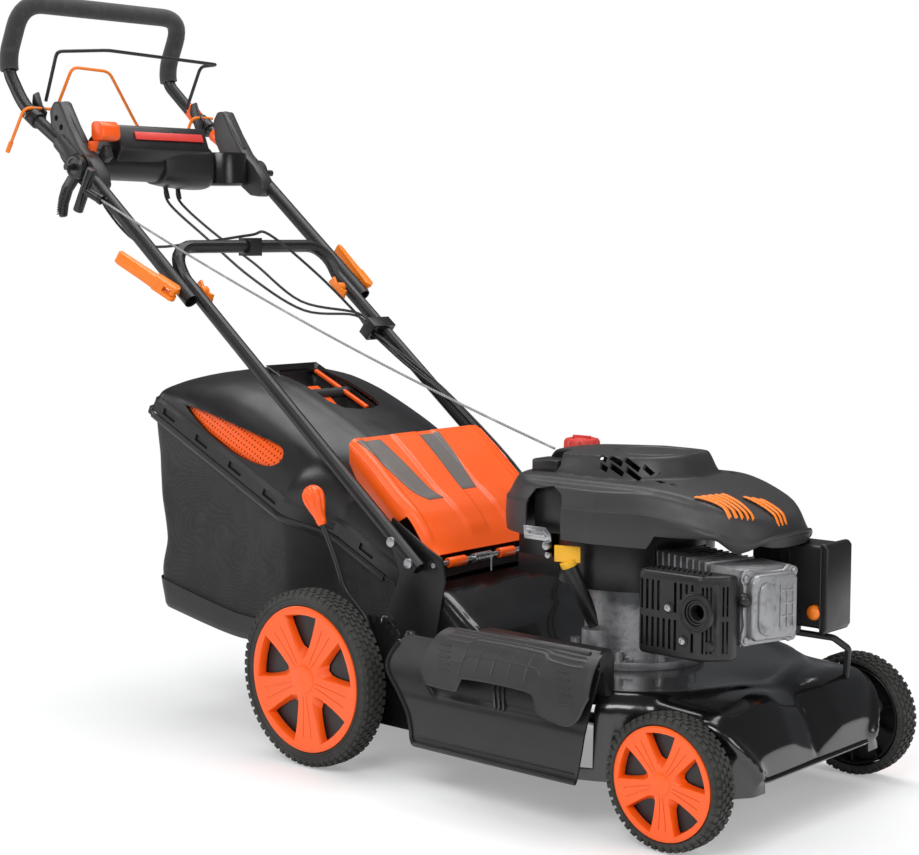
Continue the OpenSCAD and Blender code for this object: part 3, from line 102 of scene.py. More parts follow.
def make_world():
    """White as seen, a soft room for the light and a dim one for the reflections."""
    world = bpy.data.worlds.new("studio")
    world.use_nodes = True
    bpy.context.scene.world = world
    tree = world.node_tree
    tree.nodes.clear()

    def light(colour, strength):
        made = tree.nodes.new("ShaderNodeBackground")
        made.inputs["Color"].default_value = (*colour, 1)
        made.inputs["Strength"].default_value = strength
        return made.outputs[0]

    def choose(share, first, second):
        made = tree.nodes.new("ShaderNodeMixShader")
        for socket, source in enumerate((share, first, second)):
            tree.links.new(source, made.inputs[socket])
        return made.outputs[0]

    room, white, dim = light((0.95, 0.97, 1.0), 0.42), light((1, 1, 1), 1.0), light((0.9, 0.95, 1.0), 0.13)
    path = tree.nodes.new("ShaderNodeLightPath")
    seen = tree.nodes.new("ShaderNodeMath")
    seen.operation = "MAXIMUM"
    tree.links.new(path.outputs["Is Camera Ray"], seen.inputs[0])
    tree.links.new(path.outputs["Is Transmission Ray"], seen.inputs[1])
    lit = choose(path.outputs["Is Glossy Ray"], choose(seen.outputs[0], room, white), dim)
    tree.links.new(lit, tree.nodes.new("ShaderNodeOutputWorld").inputs[0])


def make_floor():
    """A pale floor that fades to white away from the machine."""
    bpy.ops.mesh.primitive_plane_add(size=30, location=(0, 0, -0.0006))
    floor = bpy.context.object
    floor.name = "studio_floor"
    mat = bpy.data.materials.new("pale_floor")
    mat.use_nodes = True
    tree = mat.node_tree
    shader = tree.nodes["Principled BSDF"]
    shader.inputs["Base Color"].default_value = (0.93, 0.93, 0.93, 1)
    shader.inputs["Roughness"].default_value = 0.75
    shader.inputs["Specular IOR Level"].default_value = 0.1
    glow = tree.nodes.new("ShaderNodeEmission")
    coords = tree.nodes.new("ShaderNodeTexCoord")
    away = tree.nodes.new("ShaderNodeVectorMath")
    away.operation = "LENGTH"
    tree.links.new(coords.outputs["Object"], away.inputs[0])
    fade = tree.nodes.new("ShaderNodeMapRange")
    for socket, value in zip(("From Min", "From Max", "To Min", "To Max"), (0.75, 1.9, 0.3, 1.0)):
        fade.inputs[socket].default_value = value
    tree.links.new(away.outputs["Value"], fade.inputs["Value"])
    path = tree.nodes.new("ShaderNodeLightPath")
    seen = tree.nodes.new("ShaderNodeMath")
    seen.operation = "MULTIPLY"
    tree.links.new(fade.outputs[0], seen.inputs[0])
    tree.links.new(path.outputs["Is Camera Ray"], seen.inputs[1])
    mix = tree.nodes.new("ShaderNodeMixShader")
    tree.links.new(seen.outputs[0], mix.inputs[0])
    tree.links.new(shader.outputs[0], mix.inputs[1])
    tree.links.new(glow.outputs[0], mix.inputs[2])
    tree.links.new(mix.outputs[0], tree.nodes["Material Output"].inputs["Surface"])
    floor.data.materials.append(mat)


bpy.context.scene.view_settings.view_transform = "Standard"
make_camera()
make_world()
make_floor()
for lamp_row in (
    ("key_lamp", (1.6, -3.4, 3.2), (0, 0, 0.4), (2.4, 1.6), 95),
    ("top_lamp", (-0.3, 0.6, 3.4), (0, 0, 0.3), (3.2, 2.2), 85),
    ("fill_lamp", (-3.2, -2.2, 1.8), (0, 0, 0.5), (1.6, 2.0), 30),
    ("nose_lamp", (3.6, -0.4, 1.6), (0.4, 0, 0.3), (1.4, 1.4), 25),
):
    make_lamp(*lamp_row)


# ---- Finishes ----

def linear(*rgb):
    """Linear colour from 0 to 255 display values."""
    return tuple((c / 255 / 12.92) if c <= 10 else ((c / 255 + 0.055) / 1.055) ** 2.4 for c in rgb) + (1,)


class Finish:
    """A procedural material on Object coordinates, put together step by step."""

    def __init__(self, name, colour, rough, **shader):
        self.mat = bpy.data.materials.new(name)
        self.mat.use_nodes = True
        self.tree = self.mat.node_tree
        self.shader = self.tree.nodes["Principled BSDF"]
        self.colour = linear(*colour)
        self.set("Base Color", self.colour)
        self.set("Roughness", rough)
        for socket, value in shader.items():
            self.set(socket.replace("_", " "), value)
        self.mat.diffuse_color = self.colour
        coords = self.tree.nodes.new("ShaderNodeTexCoord")
        self.at = coords.outputs["Object"]
        self.uv = coords.outputs["UV"]
        self.normal = None

    def set(self, socket, value):
        self.shader.inputs[socket].default_value = value

    def node(self, kind, links=(), **values):
        made = self.tree.nodes.new("ShaderNode" + kind)
        for key, value in values.items():
            if key in made.inputs:
                made.inputs[key].default_value = value
            else:
                setattr(made, key, value)
        for socket, source in dict(links).items():
            self.tree.links.new(source, made.inputs[socket])
        return made

    def stretched(self, scale, turn=(0, 0, 0), source=None):
        mapping = self.node("Mapping", {"Vector": source or self.at})
        mapping.inputs["Scale"].default_value = scale
        mapping.inputs["Rotation"].default_value = turn
        return mapping.outputs[0]

    def noise(self, scale, detail=2.0, rough=0.5, source=None):
        made = self.node("TexNoise", {"Vector": source or self.at}, Scale=scale, Detail=detail, Roughness=rough)
        return made.outputs["Fac"]

    def ramp(self, source, low, high, a=0.0, b=1.0):
        made = self.node("MapRange", {"Value": source})
        for socket, value in zip(("From Min", "From Max", "To Min", "To Max"), (low, high, a, b)):
            made.inputs[socket].default_value = value
        return made.outputs[0]

    def tint(self, source, colour, share=1.0):
        """Blends another colour in where source is high."""
        made = self.node("Mix", data_type="RGBA")
        fac = self.ramp(source, 0, 1, 0, share)
        self.tree.links.new(fac, made.inputs[0])
        old = self.shader.inputs["Base Color"]
        if old.is_linked:
            self.tree.links.new(old.links[0].from_socket, made.inputs[6])
        else:
            made.inputs[6].default_value = old.default_value
        made.inputs[7].default_value = linear(*colour)
        self.tree.links.new(made.outputs[2], old)
        return self

    def roughen(self, source, low, high):
        self.tree.links.new(self.ramp(source, 0.25, 0.75, low, high), self.shader.inputs["Roughness"])
        return self

    def bump(self, source, depth, strength=1.0):
        made = self.node("Bump", {"Height": source}, Distance=depth, Strength=strength)
        if self.normal is not None:
            self.tree.links.new(self.normal, made.inputs["Normal"])
        self.normal = made.outputs[0]
        self.tree.links.new(self.normal, self.shader.inputs["Normal"])
        return self


def moulded(name, colour, rough, grain=900, depth=0.00012, pale=14, **shader):
    """Moulded plastic: a fine spark-eroded grain, flow clouds and rubbed, slightly paler patches."""
    f = Finish(name, colour, rough, **shader)
    f.bump(f.noise(grain, 3, 0.6), depth)
    f.bump(f.noise(16, 2), 0.0006, 0.35)
    f.roughen(f.noise(22, 4, 0.65), rough - 0.07, rough + 0.08)
    lighter = tuple(min(255, c + pale) for c in colour)
    f.tint(f.ramp(f.noise(9, 5, 0.6), 0.5, 0.72), lighter, 0.55)
    f.tint(f.ramp(f.noise(140, 3, 0.7), 0.62, 0.78), lighter, 0.35)
    return f.mat


def glossy_paint(name, colour, rough=0.17):
    """Wet-look enamel with faint orange peel, fine dust and a few dull smears."""
    f = Finish(name, colour, rough, Coat_Weight=0.6, Coat_Roughness=0.06, Specular_IOR_Level=0.55)
    f.bump(f.noise(120, 2, 0.5), 0.00025, 0.5)
    f.roughen(f.noise(7, 5, 0.7), rough - 0.05, rough + 0.14)
    f.tint(f.ramp(f.noise(520, 2, 0.8), 0.66, 0.8), (70, 66, 66), 0.3)
    f.tint(f.ramp(f.noise(5, 3, 0.5), 0.45, 0.75), (26, 23, 25), 0.5)
    return f.mat


def powder_coat(name, colour, rough=0.42):
    """Powder-coated tube and plate: orange-peel bump and slightly uneven sheen."""
    f = Finish(name, colour, rough, Specular_IOR_Level=0.5)
    f.bump(f.noise(420, 2, 0.6), 0.0003, 0.5)
    f.roughen(f.noise(14, 4, 0.6), rough - 0.1, rough + 0.08)
    f.tint(f.ramp(f.noise(240, 3, 0.7), 0.63, 0.78), (92, 92, 94), 0.35)
    return f.mat


def cast_metal(name, colour, rough=0.42, depth=0.0006):
    """Sand-cast alloy: pebbled skin with darker hollows and cleaner high spots."""
    f = Finish(name, colour, rough, Metallic=0.75)
    f.bump(f.noise(260, 4, 0.65), depth, 0.6)
    f.bump(f.noise(40, 3), 0.001, 0.25)
    f.roughen(f.noise(60, 4, 0.6), rough - 0.1, rough + 0.14)
    f.tint(f.ramp(f.noise(80, 5, 0.6), 0.5, 0.7), tuple(int(c * 0.62) for c in colour), 0.6)
    return f.mat


def brushed_metal(name, colour, rough=0.3):
    """Plated steel: fine drawn lines and light spotting."""
    f = Finish(name, colour, rough, Metallic=0.95)
    f.bump(f.noise(60, 3, 0.6, f.stretched((1, 12, 12))), 0.0002, 0.5)
    f.roughen(f.noise(90, 3, 0.6, f.stretched((1, 8, 8))), rough - 0.08, rough + 0.12)
    f.tint(f.ramp(f.noise(34, 5, 0.65), 0.56, 0.75), tuple(int(c * 0.6) for c in colour), 0.5)
    return f.mat


def tyre_rubber(name):
    """Moulded tyre rubber with a dusty bloom and a fine dull grain."""
    f = Finish(name, (50, 50, 48), 0.72, Specular_IOR_Level=0.35)
    f.bump(f.noise(700, 3, 0.6), 0.00015)
    f.bump(f.noise(60, 3), 0.0004, 0.3)
    f.roughen(f.noise(30, 4, 0.6), 0.62, 0.84)
    f.tint(f.ramp(f.noise(12, 5, 0.65), 0.46, 0.7), (76, 75, 71), 0.5)
    f.tint(f.ramp(f.noise(300, 3, 0.7), 0.6, 0.76), (90, 88, 83), 0.35)
    return f.mat


def grip_foam(name):
    """Closed-cell foam sleeve: open pores at the skin, darkened with painted shade, and a soft matt sheen."""
    f = Finish(name, (50, 50, 51), 0.88, Sheen_Weight=0.25, Sheen_Roughness=0.5, Specular_IOR_Level=0.3)
    cells = f.node("TexVoronoi", {"Vector": f.at}, Scale=620)
    f.bump(cells.outputs["Distance"], 0.0005, 0.8)
    f.bump(f.noise(90, 3), 0.0006, 0.4)
    f.tint(f.ramp(f.noise(50, 5, 0.7), 0.48, 0.7), (74, 74, 76), 0.5)
    # Painted shade: the pores, where the bump sinks, are darkened.
    f.tint(f.ramp(cells.outputs["Distance"], 0.0, 0.25, 1, 0), (26, 26, 27), 0.5)
    return f.mat


def bag_cloth(name):
    """Coated plain-weave bag fabric: crossed threads with painted shade in the gaps between them, breathing mesh and
    dusty creases.
    """
    f = Finish(name, (33, 33, 34), 0.82, Sheen_Weight=0.12, Sheen_Roughness=0.45)
    across = f.node("TexWave", {"Vector": f.stretched((1, 1, 1), (0, SEAM, 0))},
                    Scale=430, Distortion=0.6, bands_direction="X")
    along = f.node("TexWave", {"Vector": f.stretched((1, 1, 1), (0, SEAM, 0))},
                   Scale=430, Distortion=0.6, bands_direction="Z")
    sides = f.node("TexWave", {"Vector": f.at}, Scale=430, Distortion=0.6, bands_direction="Y")
    first = f.node("Math", {0: across.outputs["Fac"], 1: along.outputs["Fac"]}, operation="MULTIPLY")
    weave = f.node("Math", {0: first.outputs[0], 1: sides.outputs["Fac"]}, operation="MULTIPLY")
    f.bump(weave.outputs[0], 0.0004, 0.7)
    f.bump(f.noise(26, 4), 0.004, 0.35)
    # Painted shade: the gaps between the threads, where the weave bump is low, are darkened.
    f.tint(f.ramp(weave.outputs[0], 0.05, 0.5, 1, 0), (21, 21, 21), 0.45)
    f.tint(f.ramp(f.noise(11, 5, 0.65), 0.48, 0.74), (50, 50, 51), 0.5)
    return f.mat


def drive_rubber(name):
    """Belt rubber: a coarse dull grain with dusty patches."""
    f = Finish(name, (34, 33, 32), 0.62)
    f.bump(f.noise(300, 3), 0.0004, 0.6)
    f.tint(f.ramp(f.noise(40, 4), 0.5, 0.7), (62, 60, 58), 0.5)
    f.roughen(f.noise(30, 3), 0.5, 0.75)
    return f.mat


def cable_jacket(name, colour):
    """Plastic jacket with a fine grain and paler, rubbed patches."""
    f = Finish(name, colour, 0.42)
    f.bump(f.noise(500, 2), 0.0002, 0.5)
    f.roughen(f.noise(60, 3), 0.34, 0.52)
    f.tint(f.ramp(f.noise(70, 3), 0.5, 0.75), tuple(min(255, c + 26) for c in colour), 0.5)
    return f.mat


def braided_cord(name, way):
    """Pale braided starter cord: plaited strands with painted shade darkening the gaps between them, slightly soiled.
    """
    f = Finish(name, (150, 150, 150), 0.78)
    turn = way.to_track_quat("X", "Z").inverted().to_euler()
    run = f.stretched((1, 1, 1), turn)
    strands = f.node("TexWave", {"Vector": run}, Scale=120, Distortion=1.5, bands_direction="DIAGONAL")
    f.bump(strands.outputs["Fac"], 0.0006, 0.9)
    # Painted shade: the gaps between the strands, where the bump is low, are darkened.
    f.tint(f.ramp(strands.outputs["Fac"], 0.1, 0.5, 1, 0), (84, 84, 84), 0.7)
    f.tint(f.ramp(f.noise(40, 4), 0.5, 0.7), (196, 194, 190), 0.5)
    return f.mat


FINISHES = {
    "deck_paint": glossy_paint("deck_enamel", (13, 11, 12)),
    "frame_paint": powder_coat("black_powder_coat", (25, 24, 25)),
    "black_plastic": moulded("black_moulding", (27, 26, 27), 0.36, pale=7),
    "charcoal_plastic": moulded("charcoal_moulding", (47, 45, 46), 0.44, pale=8),
    "orange_plastic": moulded("orange_moulding", (246, 90, 8), 0.34, pale=6, Coat_Weight=0.1),
    "amber_plastic": moulded("amber_moulding", (240, 122, 14), 0.36, pale=8),
    "red_plastic": moulded("red_moulding", (205, 58, 50), 0.36),
    "yellow_plastic": moulded("yellow_moulding", (240, 180, 36), 0.38),
    "cast_alloy": cast_metal("cast_alloy_skin", (158, 158, 160)),
    "dark_iron": cast_metal("dark_iron_skin", (70, 68, 68), 0.5),
    "steel": brushed_metal("plated_steel", (176, 176, 178)),
    "tyre_rubber": tyre_rubber("tyre_tread_rubber"),
    "foam": grip_foam("grip_foam_skin"),
    "bag_fabric": bag_cloth("bag_weave"),
    "belt_rubber": drive_rubber("belt_ribbed_rubber"),
    "cord_black": cable_jacket("cable_jacket_black", (30, 29, 30)),
}
SLOT_OF = {part["node"]: part["material_slot"] for part in frame["record"]["subparts"]}
BODY_OF = {node: obj["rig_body"] for node, obj in NODES.items()}


# ---- Ways of working ----

def begin(kind, **at):
    """Adds a mesh primitive on its own and returns it."""
    bpy.ops.object.select_all(action="DESELECT")
    getattr(bpy.ops.mesh, f"primitive_{kind}_add")(**at)
    return bpy.context.object


def hold(obj):
    """Makes a piece the only one selected, and the active one."""
    bpy.ops.object.select_all(action="DESELECT")
    obj.select_set(True)
    bpy.context.view_layer.objects.active = obj


def edit(obj, kind="FACE", test=None):
    """Opens a piece in edit mode with all, or only what passes the test, selected."""
    hold(obj)
    bpy.ops.object.mode_set(mode="EDIT")
    bpy.ops.mesh.select_mode(type=kind)
    bpy.ops.mesh.select_all(action="SELECT" if test is None else "DESELECT")
    if test is not None:
        mesh = bmesh.from_edit_mesh(obj.data)
        for part in {"FACE": mesh.faces, "EDGE": mesh.edges, "VERT": mesh.verts}[kind]:
            part.select_set(bool(test(part)))
        bmesh.update_edit_mesh(obj.data)


def leave():
    """Goes back from edit mode."""
    bpy.ops.object.mode_set(mode="OBJECT")


def tidy(obj, gap=0.00001):
    """Merges doubles and turns every face outwards."""
    edit(obj)
    bpy.ops.mesh.remove_doubles(threshold=gap)
    bpy.ops.mesh.dissolve_degenerate(threshold=gap)
    bpy.ops.mesh.select_all(action="SELECT")
    bpy.ops.mesh.normals_make_consistent(inside=False)
    leave()
    return obj


def modify(obj, kind, **settings):
    """Adds a modifier with these settings and applies it."""
    hold(obj)
    made = obj.modifiers.new(kind.lower(), kind)
    for key, value in settings.items():
        setattr(made, key, value)
    bpy.ops.object.modifier_apply(modifier=made.name)
    return obj


def rounded(obj, width, segments=2, angle=32):
    """Bevels the edges that turn by more than the angle."""
    return modify(obj, "BEVEL", width=width, segments=segments, limit_method="ANGLE",
                  angle_limit=math.radians(angle), use_clamp_overlap=True)


def seated(obj, matrix):
    """Moves a piece by a matrix and puts the move into its mesh."""
    obj.matrix_world = matrix
    hold(obj)
    bpy.ops.object.transform_apply(location=True, rotation=True, scale=True)
    return obj


def joined(pieces):
    """Makes one piece of several."""
    if len(pieces) > 1:
        hold(pieces[0])
        for piece in pieces:
            piece.select_set(True)
        bpy.ops.object.join()
    return pieces[0]


def copied(obj):
    """A second piece with its own mesh."""
    twin = obj.copy()
    twin.data = obj.data.copy()
    bpy.context.scene.collection.objects.link(twin)
    return twin


def outline(points, push=None):
    """A flat face through the points, pushed out to a slab when a way is given."""
    obj = begin("circle", vertices=len(points), fill_type="NGON")
    for vertex, point in zip(obj.data.vertices, points):
        vertex.co = point
    if push is not None:
        edit(obj)
        bpy.ops.mesh.extrude_region_move(TRANSFORM_OT_translate={"value": push})
        leave()
        tidy(obj)
    return obj


def side_plate(points, low, high):
    """A slab with the outline in (back, z), from one side place to the other, in millimetres."""
    return outline([place(b, low, z) for b, z in points], (0, (high - low) * mm, 0))


def slab(points, low, high, width=0.0016):
    """A side plate with rounded edges."""
    return rounded(side_plate(points, low, high), width)


def turned(profile, centre, axis, steps=96, arc=2 * math.pi):
    """Spins a closed profile of (radius, offset along the axis) points around Y or Z."""
    obj = begin("circle", vertices=len(profile), fill_type="NOTHING")
    centre = Vector(centre)
    for vertex, (r, h) in zip(obj.data.vertices, profile):
        vertex.co = centre + (Vector((0, h, r)) if axis == "Y" else Vector((r, 0, h)))
    edit(obj, "VERT")
    bpy.ops.mesh.spin(steps=steps, angle=arc, center=centre, axis=(0, 1, 0) if axis == "Y" else (0, 0, 1))
    leave()
    return tidy(obj)


def formed(across, along, surface, close=True):
    """A grid of faces laid on a surface that is given as a function of u and v from 0 to 1."""
    obj = begin("grid", x_subdivisions=across, y_subdivisions=along, size=1)
    for vertex in obj.data.vertices:
        vertex.co = surface(vertex.co.x + 0.5, vertex.co.y + 0.5)
    return tidy(obj) if close else obj


def shell_of(across, along, surface, thickness, offset=-1, close=True):
    """A formed grid with a thickness."""
    return modify(formed(across, along, surface, close), "SOLIDIFY", thickness=thickness, offset=offset)


def rod(points, radius, sides=12, smooth=False, resolution=6):
    """A round bar along the points, made from a curve."""
    line = bpy.data.curves.new("rod", "CURVE")
    line.dimensions = "3D"
    spline = line.splines.new("BEZIER" if smooth else "POLY")
    if smooth:
        spline.bezier_points.add(len(points) - 1)
        for knot, point in zip(spline.bezier_points, points):
            knot.co = point
            knot.handle_left_type = knot.handle_right_type = "AUTO"
    else:
        spline.points.add(len(points) - 1)
        for knot, point in zip(spline.points, points):
            knot.co = (*point, 1)
    line.resolution_u = resolution
    line.bevel_depth = radius
    line.bevel_resolution = max(1, sides // 4 - 1)
    line.use_fill_caps = True
    obj = bpy.data.objects.new("rod", line)
    bpy.context.scene.collection.objects.link(obj)
    hold(obj)
    bpy.ops.object.convert(target="MESH")
    return bpy.context.object


def drum(a, b, radius, sides=32):
    """A cylinder from one point to another."""
    a, b = Vector(a), Vector(b)
    obj = begin("cylinder", vertices=sides, radius=radius, depth=(b - a).length)
    obj.matrix_world = Matrix.Translation((a + b) / 2) @ (b - a).to_track_quat("Z", "Y").to_matrix().to_4x4()
    bpy.ops.object.transform_apply(location=True, rotation=True, scale=True)
    return obj


def pin(back, z, low, high, radius, sides):
    """A cylinder across the machine, from one side place to the other."""
    return drum(place(back, low, z), place(back, high, z), radius, sides)


def block(low, high):
    """A box between two corners."""
    low, high = Vector(low), Vector(high)
    obj = begin("cube", size=1, location=(low + high) / 2)
    obj.scale = high - low
    bpy.ops.object.transform_apply(location=True, rotation=True, scale=True)
    return obj


def cut(obj, tools):
    """Takes the tools away from a piece."""
    for tool in tools if isinstance(tools, list) else [tools]:
        modify(obj, "BOOLEAN", operation="DIFFERENCE", solver="EXACT", object=tool)
        bpy.data.objects.remove(tool)
    return obj


def paint(obj, mat):
    """Gives a piece one material."""
    obj.data.materials.clear()
    obj.data.materials.append(mat)
    return obj


def smooth(obj, angle=35):
    """Shades a piece smooth but for the edges that turn by more than the angle."""
    hold(obj)
    bpy.ops.object.shade_smooth_by_angle(angle=math.radians(angle))
    return obj


def settle(obj, name, body, slot, hides=(), mat=None, angle=35):
    """Names, finishes and seats a piece on its body; one that bends over a joint is given no body here."""
    hold(obj)
    bpy.ops.object.transform_apply(location=True, rotation=True, scale=True)
    obj.name = name
    obj.data.name = name
    if mat is not False:
        paint(obj, mat or FINISHES[slot])
    smooth(obj, angle)
    if body:
        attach(obj, body)
    if hides:
        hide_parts(*hides)
    return obj


def softened(node, width, segments=2, angle=32, name=None):
    """The CAD node's own shape with its flat faces joined and its edges rounded."""
    obj = copied(NODES[node])
    obj.parent = None
    for key in list(obj.keys()):
        del obj[key]
    tidy(obj, 0.00002)
    modify(obj, "DECIMATE", decimate_type="DISSOLVE", angle_limit=math.radians(1.2))
    rounded(obj, width, segments, angle)
    return settle(obj, name or node + "_finished", BODY_OF[node], SLOT_OF[node], [node])


for part, obj in NODES.items():
    paint(obj, FINISHES[SLOT_OF[part]])
    smooth(obj, 30)


# ---- Control cables and starter rope ----

SLOPE = math.radians(38.7)
CRANK = 240
LOWER, UPPER = 183.3, 207.8


def on_handle(along, rise, side):
    """A place on the handle: along it from its foot, square up from it, and to the left."""
    return place(530 + along * math.cos(SLOPE) - rise * math.sin(SLOPE), side,
                 325 + along * math.sin(SLOPE) + rise * math.cos(SLOPE))


def eased(a, b, c, d, t):
    """Between b and c on a smooth line that also runs through a and d."""
    return 0.5 * (2 * b + (c - a) * t + (2 * a - 5 * b + 4 * c - d) * t ** 2 + (3 * b - a - 3 * c + d) * t ** 3)


def flowing(points, steps=7):
    """More points along a smooth line through the given ones."""
    line = []
    for i in range(len(points) - 1):
        a, b = points[max(0, i - 1)], points[i]
        c, d = points[i + 1], points[min(len(points) - 1, i + 2)]
        line += [eased(a, b, c, d, k / steps) for k in range(steps)]
    return line + [points[-1]]


clip_far = on_handle(538, -3, LOWER - 24)
clip_cross = on_handle(748, 21, 0) + Vector((0, 0, 0.020))
ROUTES = {
    "throttle_cable": [
        place(1372, 60, 919), place(1366, 64, 890), place(1310, 92, 836), place(1230, 126, 776), place(1130, 152, 706),
        on_handle(582, -2, LOWER - 26), clip_far, on_handle(440, 6, LOWER - 21), on_handle(330, 15, LOWER - 6),
        on_handle(160, 16, LOWER - 1), on_handle(50, 17, LOWER - 1), on_handle(-16, 18, LOWER - 1),
        place(468, 180, 340), place(420, 150, 352), place(360, 118, 362), place(323, 94, 364)],
    "brake_cable": [
        place(1360, 20, 919), place(1352, 26, 886), place(1290, 60, 824), place(1210, 100, 750), place(1110, 140, 690),
        on_handle(582, -7, LOWER - 29), clip_far + Vector((0, -1, -6)) * mm, on_handle(440, 2, LOWER - 24),
        on_handle(330, 15, LOWER - 12), on_handle(160, 16, LOWER - 7.4), on_handle(50, 17, LOWER - 7.4),
        on_handle(-16, 18, LOWER - 7.4), place(466, 174, 330), place(420, 142, 334), place(366, 118, 336),
        place(323, 94, 340)],
    "drive_cable": [
        place(1366, -120, 919), place(1358, -122, 880), place(1280, -100, 812), place(1190, -40, 816), clip_cross,
        clip_cross + Vector((22, 26, 1)) * mm, place(1030, 96, 760), on_handle(582, 0, LOWER - 34),
        clip_far + Vector((0, -6, 0)) * mm, on_handle(440, 8, LOWER - 14), on_handle(330, 15.5, LOWER),
        on_handle(160, 13, LOWER + 12), place(582, 206, 350), place(570, 208, 270), place(568, 208, 194)],
}
for cable, route in ROUTES.items():
    line = flowing(route)
    piece = rod(line, 0.0025, 12)
    settle(piece, cable, None, "cord_black", ["control_cables"], angle=60)
    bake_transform(piece)

PULL = Vector((-0.82, -0.33, 0.47)).normalized()
ring_spot = on_handle(900, 4, -UPPER - 24)
grip_spot = ring_spot + 3.3 * mm * PULL
rope_way = place(343, -71, 507) - ring_spot
line = [grip_spot + 6 * mm * PULL, ring_spot + 5 * mm * PULL] + [
    ring_spot + rope_way * k / 32 - Vector((0, 0, 0.072 * (k / 32) * (1 - k / 32))) for k in range(2, 33)]
piece = rod(line, 0.002, 12)
settle(piece, "starter_cord", None, "cord_black", ["starter_rope"],
       mat=braided_cord("braided_cord", rope_way), angle=60)
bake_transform(piece)
tail = settle(rod([line[1], line[0]], 0.002, 12), "starter_cord_tail", None, "cord_black",
              mat=braided_cord("braided_tail", PULL), angle=60)
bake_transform(tail)


def ferrule(spot, way, size):
    """A ribbed strain relief that tapers along the cable."""
    way = way.normalized()
    line = [(0.0001, 0.0)]
    for k in range(6):
        r = size * (1.9 - 0.14 * k)
        line += [(r, 0.0042 * k * size / 0.0025), (r, (0.0042 * k + 0.0028) * size / 0.0025),
                 (r * 0.84, (0.0042 * k + 0.0030) * size / 0.0025), (r * 0.84, (0.0042 * k + 0.0040) * size / 0.0025)]
    line += [(size * 1.02, 0.0262 * size / 0.0025), (0.0001, 0.0262 * size / 0.0025)]
    piece = turned(line, (0, 0, 0), "Z", 32)
    return seated(piece, Matrix.Translation(spot) @ way.to_track_quat("Z", "Y").to_matrix().to_4x4())


tops = [ferrule(route[0] - Vector((0, 0, -0.004)), route[1] - route[0], 0.0026)
        for route in ROUTES.values()]
settle(joined(tops), "cable_strain_reliefs", "control_head", "black_plastic")
feet = [ferrule(route[-1], route[-2] - route[-1], 0.0026) for route in ROUTES.values()]
settle(joined(feet), "cable_foot_sleeves", "chassis", "black_plastic")


# ---- Wheels ----

REAR = {"r": 0.140, "w": 0.046, "disc": 0.116, "y": 0.277, "x": 0.074185}
FORE = {"r": 0.095, "w": 0.042, "disc": 0.080, "y": 0.249, "x": FRONT}


def tyre(size, side, blocks):
    """Tyre with a smooth sidewall ring, a rounded crown and rows of small tread blocks."""
    r, half, disc = size["r"], size["w"] / 2, size["disc"]
    centre = Vector((size["x"], side * size["y"], r))
    crown = r - 0.0028
    profile = [
        (disc + 0.0002, -half + 0.006), (disc + 0.0008, -half + 0.0022), (disc + 0.003, -half + 0.0012),
        (disc + 0.0045, -half + 0.0026), (r - 0.0135, -half + 0.0022), (r - 0.0125, -half + 0.0006),
        (r - 0.0095, -half + 0.0012), (crown - 0.003, -half + 0.0042), (crown - 0.0008, -half + 0.009),
        (crown, -half + 0.014),
    ]
    casing = turned(profile + [(a, -b) for a, b in reversed(profile)], centre, "Y", 120)
    rows = [(-0.37, 0.0060, 0.0), (-0.185, 0.0062, 0.5), (0.0, 0.0062, 0.0), (0.185, 0.0062, 0.5), (0.37, 0.0060, 0.0)]
    pitch = 2 * math.pi / blocks
    lugs = []
    for spot, width, shift in rows:
        drop = 0.0014 if abs(spot) > 0.3 else 0
        top = block((-0.32 * pitch * r, spot * 2 * half - width / 2, r - 0.0052 - drop),
                    (0.32 * pitch * r, spot * 2 * half + width / 2, r - 0.0002 - drop))
        edit(seated(top, Matrix.Translation(centre)))
        bpy.ops.transform.rotate(value=shift * pitch, orient_axis="Y", center_override=centre)
        leave()
        lugs.append(top)
    for edge in (-1, 1):
        shoulder = block((-0.3 * pitch * r, edge * (half - 0.0068), r - 0.0135),
                         (0.3 * pitch * r, edge * (half - 0.0004), r - 0.0046))
        edit(shoulder, "EDGE", lambda e: all(v.co.z > r - 0.006 and abs(v.co.y) > half - 0.002 for v in e.verts))
        bpy.ops.transform.translate(value=(0, 0, -0.0022))
        leave()
        lugs.append(seated(shoulder, Matrix.Translation(centre)))
    tread = rounded(joined(lugs), 0.0006, 1)
    edit(tread)
    bpy.ops.mesh.spin(steps=blocks, angle=2 * math.pi, dupli=True, center=centre, axis=(0, 1, 0))
    leave()
    return joined([casing, tidy(tread)])


def tapered(low, high):
    """A solid between two outlines with the same number of points."""
    shift = Vector(high[0]) - Vector(low[0])
    obj = begin("circle", vertices=len(low), fill_type="NGON")
    for vertex, point in zip(obj.data.vertices, low):
        vertex.co = point
    edit(obj)
    bpy.ops.mesh.extrude_region_move(TRANSFORM_OT_translate={"value": shift})
    leave()
    for vertex in obj.data.vertices:
        near = [(vertex.co - Vector(p)).length for p in low]
        far = [(vertex.co - Vector(p) - shift).length for p in low]
        if min(far) < min(near):
            vertex.co = high[far.index(min(far))]
    return tidy(obj)


